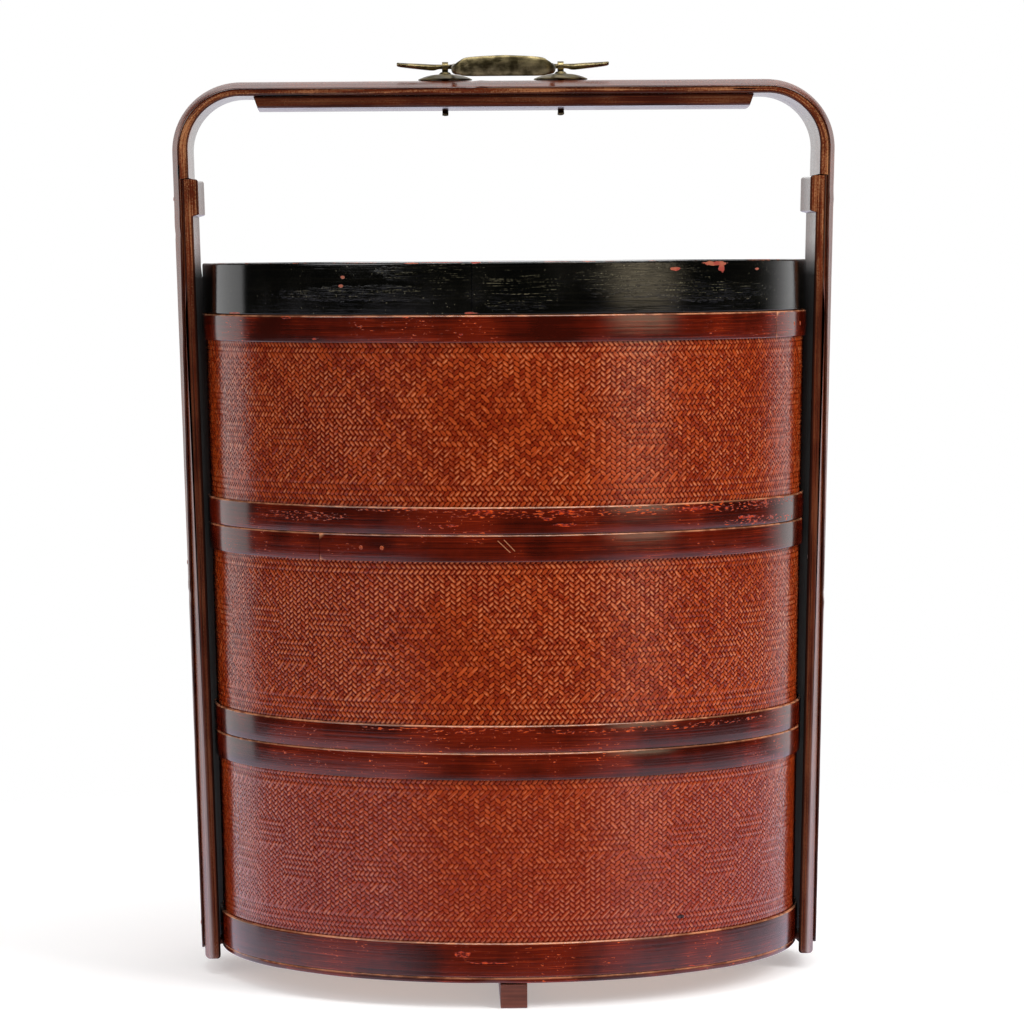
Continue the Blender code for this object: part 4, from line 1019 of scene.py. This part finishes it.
def leg(name, side, node):
    """Inner strip of a leg, with a thick head that fills the space under the bail's shoulder."""
    low = LEG_END + 0.003 * (1 - np.cos(np.linspace(0, np.pi / 2, 6)))[:-1]
    heights = np.concatenate([low, np.linspace(LEG_END + 0.003, HEAD_BOTTOM - 0.0003, 60),
                              [HEAD_BOTTOM + 0.0006, HEAD_BOTTOM + 0.0012], np.linspace(HEAD_BOTTOM + 0.002, HEAD_TOP - 0.002, 8),
                              HEAD_TOP - 0.002 * (1 - np.sin(np.linspace(0, np.pi / 2, 6)[1:]))])
    edge = np.where(heights > HEAD_BOTTOM, HEAD_EDGE, LEG_EDGE)
    edge = edge - edge_fall(HEAD_TOP - heights, 0.002)
    edge = edge - np.where(np.abs(heights - HEAD_BOTTOM - 0.0006) < 0.0002, 0.0007, 0.0)
    edge = edge - 0.7 * edge_fall(heights - LEG_END, 0.003)
    half = np.full(len(heights), STRIP_WIDTH / 2)
    half = half - edge_fall(heights - LEG_END, 0.003)
    points = np.column_stack([side * leg_x(heights), heights])
    normals = np.tile([side * math.cos(LEAN), -math.sin(LEAN)], (len(heights), 1))

    def outside(y, k):
        return LEG_OUTSIDE + crown_drop(y) + 0 * k

    behind = 0.0030 * np.interp(heights, [BASE_Z, RIM_Z, RIM_Z + 0.03], [0.0, 1.0, 0.0])

    def inside(y, k):
        hollow = (LEG_HOLLOW + behind[k] * (y > 0)) * (y / (STRIP_WIDTH / 2)) ** 2
        return LEG_OUTSIDE + STRIP_CROWN + edge[k] + hollow

    # Below the lid the inner face gets a painted shade; below the rim the outer front corner gets a painted sheen
    strip(name, points, normals, half, outside, inside, 0.0011, BAIL, [node], start=3.0 + side,
          painted_shade_inside=np.interp(heights, [RIM_Z + 0.025, RIM_Z + 0.045], [0.93, 0.0]), dull_outside=0.5,
          rubbed=np.interp(heights, [RIM_Z, RIM_Z + 0.06], [0.15, 0.9]),
          dark_sides=np.interp(heights, [RIM_Z, RIM_Z + 0.04], [0.35, 0.0]), painted_corner_sheen=np.interp(heights, [RIM_Z - 0.02, RIM_Z + 0.02], [1.0, 0.0]))


def splint():
    """The straight splint under the bail's top, with ends cut on a slant."""
    top = BAIL_TOP - STRIP_CROWN - TOP_EDGE - GAP
    half_top = leg_x(BEND_Z) - BAIL_BEND / math.cos(LEAN) - 0.0096
    x = np.linspace(half_top, -half_top, 60)
    x = np.concatenate([[half_top, half_top - 0.0004], x[1:-1], [-half_top + 0.0004, -half_top]])
    points = np.column_stack([x, np.full(len(x), top)])
    normals = np.tile([0.0, 1.0], (len(x), 1))
    half = np.full(len(x), SPLINT_WIDTH / 2)
    half[0] -= 0.0006
    half[-1] -= 0.0006

    def outside(y, k):
        return 0.0 * y

    def inside(y, k):
        return SPLINT_EDGE + SPLINT_CROWN * (1 - (y / (SPLINT_WIDTH / 2)) ** 2)

    piece = strip("bail_under_splint", points, normals, half, outside, inside, 0.0010, BAIL, ["bail_splint"],
                  start=9.0, rubbed=0.25, dark_sides=0.45)
    coords = np.empty(len(piece.data.vertices) * 3)
    piece.data.vertices.foreach_get("co", coords)
    coords = coords.reshape(-1, 3)
    below = (top - coords[:, 2]) / SPLINT_EDGE
    near_end = np.clip((np.abs(coords[:, 0]) - (half_top - 0.004)) / 0.004, 0, 1)
    coords[:, 0] -= np.sign(coords[:, 0]) * 0.0027 * np.clip(below, 0, 1) * near_end
    piece.data.vertices.foreach_set("co", coords.ravel())


# Rails under the basket


def rails():
    """The cross of two rails: outlines cut from board, their long edges eased."""
    lap = RAIL_HEIGHT / 2
    foot, side = BASE_RADIUS - 0.0022, BASE_RADIUS - 0.0472
    notch = SIDE_RAIL_WIDTH / 2 + GAP
    bevel = 0.0012
    plate("front_and_back_rail", [
        (-foot, bevel), (-foot + bevel, 0.0), (foot - bevel, 0.0), (foot, bevel), (foot, RAIL_HEIGHT),
        (notch, RAIL_HEIGHT), (notch, lap), (-notch, lap), (-notch, RAIL_HEIGHT), (-foot, RAIL_HEIGHT)],
        FOOT_RAIL_WIDTH, "y", RAILS, "foot_rail")
    tie_bottom, tie_top = RAIL_HEIGHT + GAP, BASE_Z - GAP
    reach = leg_x(tie_bottom) - (LEG_OUTSIDE + STRIP_CROWN + LEG_EDGE) / math.cos(LEAN) + 0.0050
    gap = FOOT_RAIL_WIDTH / 2 + GAP
    plate("cross_rail", [
        (-reach, tie_bottom + 0.0004), (-side, tie_bottom), (-side, bevel), (-side + bevel, 0.0), (-gap, 0.0),
        (-gap, lap + GAP), (gap, lap + GAP), (gap, 0.0), (side - bevel, 0.0), (side, bevel), (side, tie_bottom),
        (reach, tie_bottom + 0.0004), (reach, tie_top), (-reach, tie_top)],
        SIDE_RAIL_WIDTH, "x", RAILS, "side_rail")


def foot_rim():
    """The strip that shows under the lowest hoop: two arcs which end square against the cross rail."""
    low, high = BASE_Z - LIP_DROP + 0.0004, BASE_Z - GAP
    reach = BASE_RADIUS - 0.0010
    profile = np.array(rounded_profile([(reach - 0.0060, low), (reach, low), (reach, high), (reach - 0.0060, high)],
                                       [0.0003, 0.0012, 0.0005, 0.0003], 5))
    radius, height = profile.T
    start = np.arcsin((SIDE_RAIL_WIDTH / 2 + 2 * GAP) / radius)[None, :]
    angle = start + (np.pi - 2 * start) * np.linspace(0, 1, 181)[:, None]
    uneven = 0.0003 * waver(angle, 7.0, (9, 17, 31, 47)) * (height < low + 0.001)
    # edge: nearness to the top and bottom, where the hoop finish chips and paints a cream line, part wear and part
    # painted highlight
    edge = np.exp(-(high - height) / 0.0008) + 0.5 * np.exp(-(height - low) / 0.0008)
    for word, side in (("front", -1), ("back", 1)):
        rings = np.stack([radius * np.cos(angle), side * radius * np.sin(angle), height + np.maximum(uneven, 0)], -1)
        add_piece(word + "_foot_rim", rings, skin(rings), HOOPS, "bottom_tier", [],
                  {"edge": np.clip(edge + 0 * angle, 0, 1)}, 35.0)


def plate(name, outline, thickness, along, look, node):
    """A flat outline given a thickness across, with a small bevel on its edges."""
    outline = np.asarray(outline, float)
    rings = []
    for side in (-thickness / 2, thickness / 2):
        flat = np.full(len(outline), side)
        columns = [outline[:, 0], flat, outline[:, 1]] if along == "x" else [flat, outline[:, 0], outline[:, 1]]
        rings.append(np.column_stack(columns))
    rings = np.array(rings)
    piece = add_piece(name, rings, skin(rings), look, "frame", [node], None, 40.0)
    bevel = piece.modifiers.new("eased_edges", "BEVEL")
    bevel.width = 0.0006
    bevel.segments = 2
    bevel.limit_method = "ANGLE"
    return piece


# Brass


def brass():
    for side, word in ((-1, "left"), (1, "right")):
        x = side * EYE_X
        steps = np.linspace(0, 1, 9)[1:]
        hole, boss, boss_top = 0.0027, 0.0044, 0.0033
        base = BAIL_TOP + GAP
        dome = [(boss + (0.0182 - boss) * q, base + 0.0008 + 0.0032 * (1 - q ** 2)) for q in steps]
        profile = np.array([(hole, base + 0.0055), (boss_top - 0.0003, base + 0.0055), (boss_top, base + 0.0052),
                            (boss, base + 0.0041), *dome, (0.0182, base), (hole, base)])
        angle = np.arange(72)[:, None] * TAU / 72
        flute = np.clip((profile[:, 0] - boss) / (0.0182 - boss), 0, 1)[None, :]
        scallop = 1 - np.abs(np.cos(angle * 8))
        radius = profile[None, :, 0] - 0.0002 * flute * scallop
        z = profile[None, :, 1] - 0.0001 * flute * scallop * (profile[None, :, 1] > base + 0.0002)
        rings = np.stack([x + radius * np.sin(angle), -radius * np.cos(angle), z + 0 * angle], -1)
        add_piece(word + "_brass_rosette", rings, skin(rings, loop=True), BRASS, "frame", [word + "_rosette"],
                  None, 30.0)
        eye_pin(word, x)
    handle()


def eye_pin(word, x):
    """A strip folded round the handle's rod, both ends down the hole and spread below: a rectangle on a path."""
    thick, width = 0.0012, 0.0041
    eye = ROD_RADIUS + 0.0005 + thick / 2
    apart = (thick + GAP) / 2
    opening = math.asin(apart / eye)
    splint_bottom = BAIL_TOP - STRIP_CROWN - TOP_EDGE - GAP - SPLINT_EDGE
    tail_z = splint_bottom - SPLINT_CROWN - GAP - thick / 2
    angle = np.linspace(-np.pi / 2 - opening, -3 * np.pi / 2, 16)
    half = [np.array([[-0.0080, tail_z - 0.0020], [-0.0030, tail_z - 0.0006], [-apart - 0.0006, tail_z - 0.0001],
                      [-apart, tail_z + 0.0006]]),
            np.column_stack([np.full(4, -apart), np.linspace(tail_z + 0.002, PIVOT_Z - eye - 0.001, 4)]),
            np.column_stack([eye * np.cos(angle), PIVOT_Z + eye * np.sin(angle)])]
    half = np.concatenate(half)
    path = np.concatenate([half, (half * [-1, 1])[::-1][1:]])
    along = np.gradient(path, axis=0)
    along /= np.linalg.norm(along, axis=1)[:, None]
    side = np.column_stack([-along[:, 1], along[:, 0]])
    across = np.linspace(-1, 1, 9)
    crowned = np.column_stack([across * width / 2, -thick / 2 - 0.0004 * (1 - across ** 2) + 0.0004])
    section = np.concatenate([crowned, [(width / 2, thick / 2), (-width / 2, thick / 2)]])
    rings = np.empty((len(path), len(section), 3))
    rings[..., 0] = x + section[None, :, 0]
    rings[..., 1:] = path[:, None, :] + side[:, None, :] * section[None, :, 1, None]
    add_piece(word + "_folded_eye_pin", rings, skin(rings), BRASS, "frame", [word + "_eye_pin"], None, 40.0)


def catmull(stations, steps):
    """A smooth curve through rows of numbers, by cubic pieces that share slopes."""
    stations = np.asarray(stations, float)
    before = np.vstack([stations[:1], stations[:-2]])
    start, end = stations[:-1], stations[1:]
    after = np.vstack([stations[2:], stations[-1:]])
    t = (np.arange(steps) / steps)[None, :, None]
    p0, p1, p2, p3 = (p[:, None, :] for p in (before, start, end, after))
    dense = 0.5 * (2 * p1 + (p2 - p0) * t + (2 * p0 - 5 * p1 + 4 * p2 - p3) * t ** 2
                   + (3 * p1 - p0 - 3 * p2 + p3) * t ** 3)
    return np.vstack([dense.reshape(-1, stations.shape[1]), stations[-1:]])


def handle():
    """Bail handle: an ellipse of changing size carried along tails, rods, arms and a leaf-shaped grip."""
    eye, arm, front = EYE_X, EYE_X - 0.0045 - ROD_RADIUS, 0.0370
    rod = 0.00225 + ROD_RADIUS
    left = [(-0.0720, 0.0, 0.0018, 0.0006, 0.0012), (-0.0714, 0.0, 0.0017, 0.0013, 0.0024),
            (-0.0675, 0.0, 0.0012, 0.0016, 0.0045), (-0.0556, 0.0, 0.0002, 0.0020, 0.0045),
            (-0.0475, 0.0, -0.0004, 0.0021, 0.0030),
            (-eye - rod, 0.0, 0.0, 0.0016, 0.0016), (-eye + rod, 0.0, 0.0, 0.0016, 0.0016),
            (-arm, -0.0054, 0.0, 0.0020, 0.0016), (-arm, -front / 2, -0.0010, 0.0024, 0.0018),
            (-arm, -front + 0.0054, -0.0030, 0.0030, 0.0018),
            (-arm + 0.0034, -front, -0.0022, 0.0047, 0.0016),
            (-arm + 0.0090, -front - 0.0012, -0.0015, 0.0063, 0.0015)]
    middle = [(-0.0060, -front - 0.0028, -0.0010, 0.0069, 0.0015), (0.0060, -front - 0.0028, -0.0010, 0.0069, 0.0015)]
    right = [(-x, *rest) for x, *rest in reversed(left)]
    path = catmull(left + middle + right, 8)
    along = np.gradient(path[:, :2], axis=0)
    along /= np.linalg.norm(along, axis=1)[:, None]
    aside = np.column_stack([-along[:, 1], along[:, 0], np.zeros(len(path))])
    turn = np.arange(24) * TAU / 24
    centre = np.column_stack([path[:, 0], path[:, 1], PIVOT_Z + path[:, 2]])
    dents = 0.00012 * waver(np.arange(len(path))[:, None] * 0.13 + turn[None, :], 7.0)
    width = path[:, 4, None] * np.cos(turn)[None, :] + dents
    rings = (centre[:, None, :] + aside[:, None, :] * width[..., None]
             + np.array([0.0, 0.0, 1.0]) * (path[:, 3, None] * np.sin(turn)[None, :])[..., None])
    add_piece("brass_bail_handle", rings, skin(rings), BRASS, "handle", ["brass_handle"], None, 50.0)


# Studio


def surround():
    """White to the camera, an even grey as light, and what gloss shows: a dim room with pale things in it.

    Gloss sees a white backdrop behind the basket, from about 117 degrees round on either side, a warm
    soft box at 52 degrees, light from above and the pale floor, which is dim towards the camera.
    Each is a window of azimuth and height of the ray.
    """
    scene = bpy.context.scene
    world = bpy.data.worlds.new("studio_surround")
    scene.world = world
    world.use_nodes = True
    nodes = Nodes(world.node_tree)
    x, y, z = nodes.axes(nodes.node("ShaderNodeTexCoord", output="Generated"))
    azimuth = nodes.node("ShaderNodeMath", {"operation": "ARCTAN2"}, {0: x, 1: 0.0 - y}) * (180 / math.pi)
    backdrop = nodes.eased(azimuth, -116.5, -119.0) + nodes.eased(azimuth, 112.0, 138.0)
    backdrop = backdrop * nodes.eased(z, 0.30, 0.12) * 1.0
    backdrop = backdrop + nodes.eased(abs(azimuth), 155.0, 172.0) * nodes.window(z, 0.50, 0.30, 0.10) * 1.3
    box = nodes.window(azimuth, 52.0, 5.0, 13.0) * nodes.eased(z, -0.09, -0.02) * nodes.eased(z, 0.24, 0.16) * 2.6
    above = nodes.eased(z, 0.55, 0.95) * 0.5
    above = above + nodes.window(z, 0.83, 0.08, 0.05) * nodes.window(azimuth, 15.0, 50.0, 30.0) * 9.0
    above = above + nodes.window(azimuth, -62.0, 12.0, 14.0) * nodes.window(z, 0.40, 0.15, 0.10) * 4.0
    ahead = nodes.eased(abs(azimuth), 55.0, 20.0) * nodes.eased(z, -0.34, -0.24)
    ahead = nodes.most(ahead, nodes.eased(abs(azimuth), 108.0, 64.0) * nodes.eased(z, -0.168, -0.152))
    ground = nodes.eased(z, -0.120, -0.165) * (1.0 - ahead) * 1.15
    room = nodes.most(backdrop, ground) + box + above + 0.015
    ray = nodes.node("ShaderNodeLightPath", output="Is Camera Ray")
    outputs = ray.link.node.outputs
    camera, glossy, through = (Value(nodes, outputs[key]) for key in (
        "Is Camera Ray", "Is Glossy Ray", "Is Transmission Ray"))
    plain = 1.0 - nodes.node("ShaderNodeMath", {"operation": "MINIMUM"}, {0: camera + glossy + through, 1: 1.0})
    strength = camera + through + glossy * room + plain * 0.50
    warmth = glossy * nodes.eased(box, 0.0, 0.5)
    background = world.node_tree.nodes["Background"]
    cold = glossy * nodes.eased(ground, 0.0, 0.5)
    tint = nodes.mixed(cold, nodes.mixed(warmth, (1.0, 1.0, 1.0), (1.0, 0.84, 0.58)), (0.94, 0.91, 1.10))
    world.node_tree.links.new(tint.link, background.inputs["Color"])
    world.node_tree.links.new(strength.link, background.inputs["Strength"])


def studio():
    """Camera at the photograph's angle, pale floor, soft lights and a white surround."""
    scene = bpy.context.scene
    scene.view_settings.view_transform = "Standard"
    lens = bpy.data.cameras.new("camera")
    lens.lens = 163.05
    lens.sensor_width = 36.0
    lens.clip_start = 0.1
    lens.clip_end = 100.0
    camera = bpy.data.objects.new("camera", lens)
    scene.collection.objects.link(camera)
    tilt = math.radians(90 - 3.195)
    camera.matrix_world = (Matrix.Translation((-0.048, -3.16, 0.486)) @ Matrix.Rotation(math.radians(-0.945), 4, "Z")
                           @ Matrix.Rotation(tilt, 4, "X") @ Matrix.Rotation(math.radians(-0.40), 4, "Z"))
    scene.camera = camera

    surround()
    for name, azimuth, height, distance, size, power in (
            ("key", 48, 1.45, 1.9, (0.9, 1.4), 28.0), ("fill", -35, 1.1, 2.6, (1.4, 1.6), 9.0),
            ("left_bank", -136, 0.7, 2.4, (1.3, 1.6), 14.0), ("right_bank", 137, 0.7, 2.4, (1.3, 1.6), 14.0),
            ("top", 0, 2.7, 0.4, (1.6, 1.6), 16.0)):
        lamp = bpy.data.lights.new(name, "AREA")
        lamp.shape = "RECTANGLE"
        lamp.size, lamp.size_y = size
        lamp.energy = power
        item = bpy.data.objects.new(name, lamp)
        scene.collection.objects.link(item)
        around = math.radians(azimuth)
        spot = Vector((distance * math.sin(around), -distance * math.cos(around), height))
        item.location = spot
        item.rotation_euler = (Vector((0.0, 0.0, 0.28)) - spot).to_track_quat("-Z", "Y").to_euler()
        item.visible_glossy = False

    floor_look = Finish("pale_floor", Base_Color=(0.85, 0.85, 0.85, 1.0), Roughness=1.0, Specular_IOR_Level=0.0)
    floor_look.shader.inputs["Emission Color"].default_value = (1.0, 1.0, 1.0, 1.0)
    floor_look.shader.inputs["Emission Strength"].default_value = 0.35
    x, y, _ = floor_look.axes(floor_look.place())
    away = (x * x + y * y) ** 0.5
    floor_look.feed(Alpha=floor_look.eased(away, 1.1, 0.5))
    turn = np.arange(64) * TAU / 64
    ring = np.column_stack([1.2 * np.sin(turn), -1.2 * np.cos(turn), np.zeros(64)])
    mesh = bpy.data.meshes.new("floor")
    mesh.from_pydata(ring.tolist(), [], [list(range(64))])
    mesh.materials.append(floor_look.material)
    floor = bpy.data.objects.new("floor", mesh)
    floor.visible_glossy = False
    scene.collection.objects.link(floor)


def basket():
    for tier, (level, height, low_name, low_height, top_seam, low_seam) in TIERS.items():
        body = tier + "_tier"
        woven_wall(tier, level, height, low_height)
        top = height - GAP
        lapped_hoop(tier + "_upper_hoop_strip", level, top - HOOP_HEIGHT, top, top_seam, body, tier + "_top_hoop")
        lapped_hoop(tier + "_lower_hoop_strip", level, 0.0, low_height, low_seam, body, tier + "_" + low_name)
        for hoop in ("top_hoop", low_name):
            for number in (1, 2):
                node = f"{tier}_{hoop}_peg_{number}"
                peg(node + "_dowel", node, body, PEG_PROUD)
        tier_inside(tier, level, height)
    lid_pieces()
    bail()
    leg("left_leg_strip", -1, "left_leg")
    leg("right_leg_strip", 1, "right_leg")
    splint()
    for word in ("left", "right"):
        for number in (1, 2, 3):
            node = f"{word}_leg_pin_{number}"
            peg(node + "_dowel", node, "frame", PIN_PROUD)
    for number in (1, 2, 3):
        node = f"rail_peg_{number}"
        peg(node + "_dowel", node, "frame", PIN_PROUD)
    rails()
    foot_rim()
    brass()


studio()
basket()
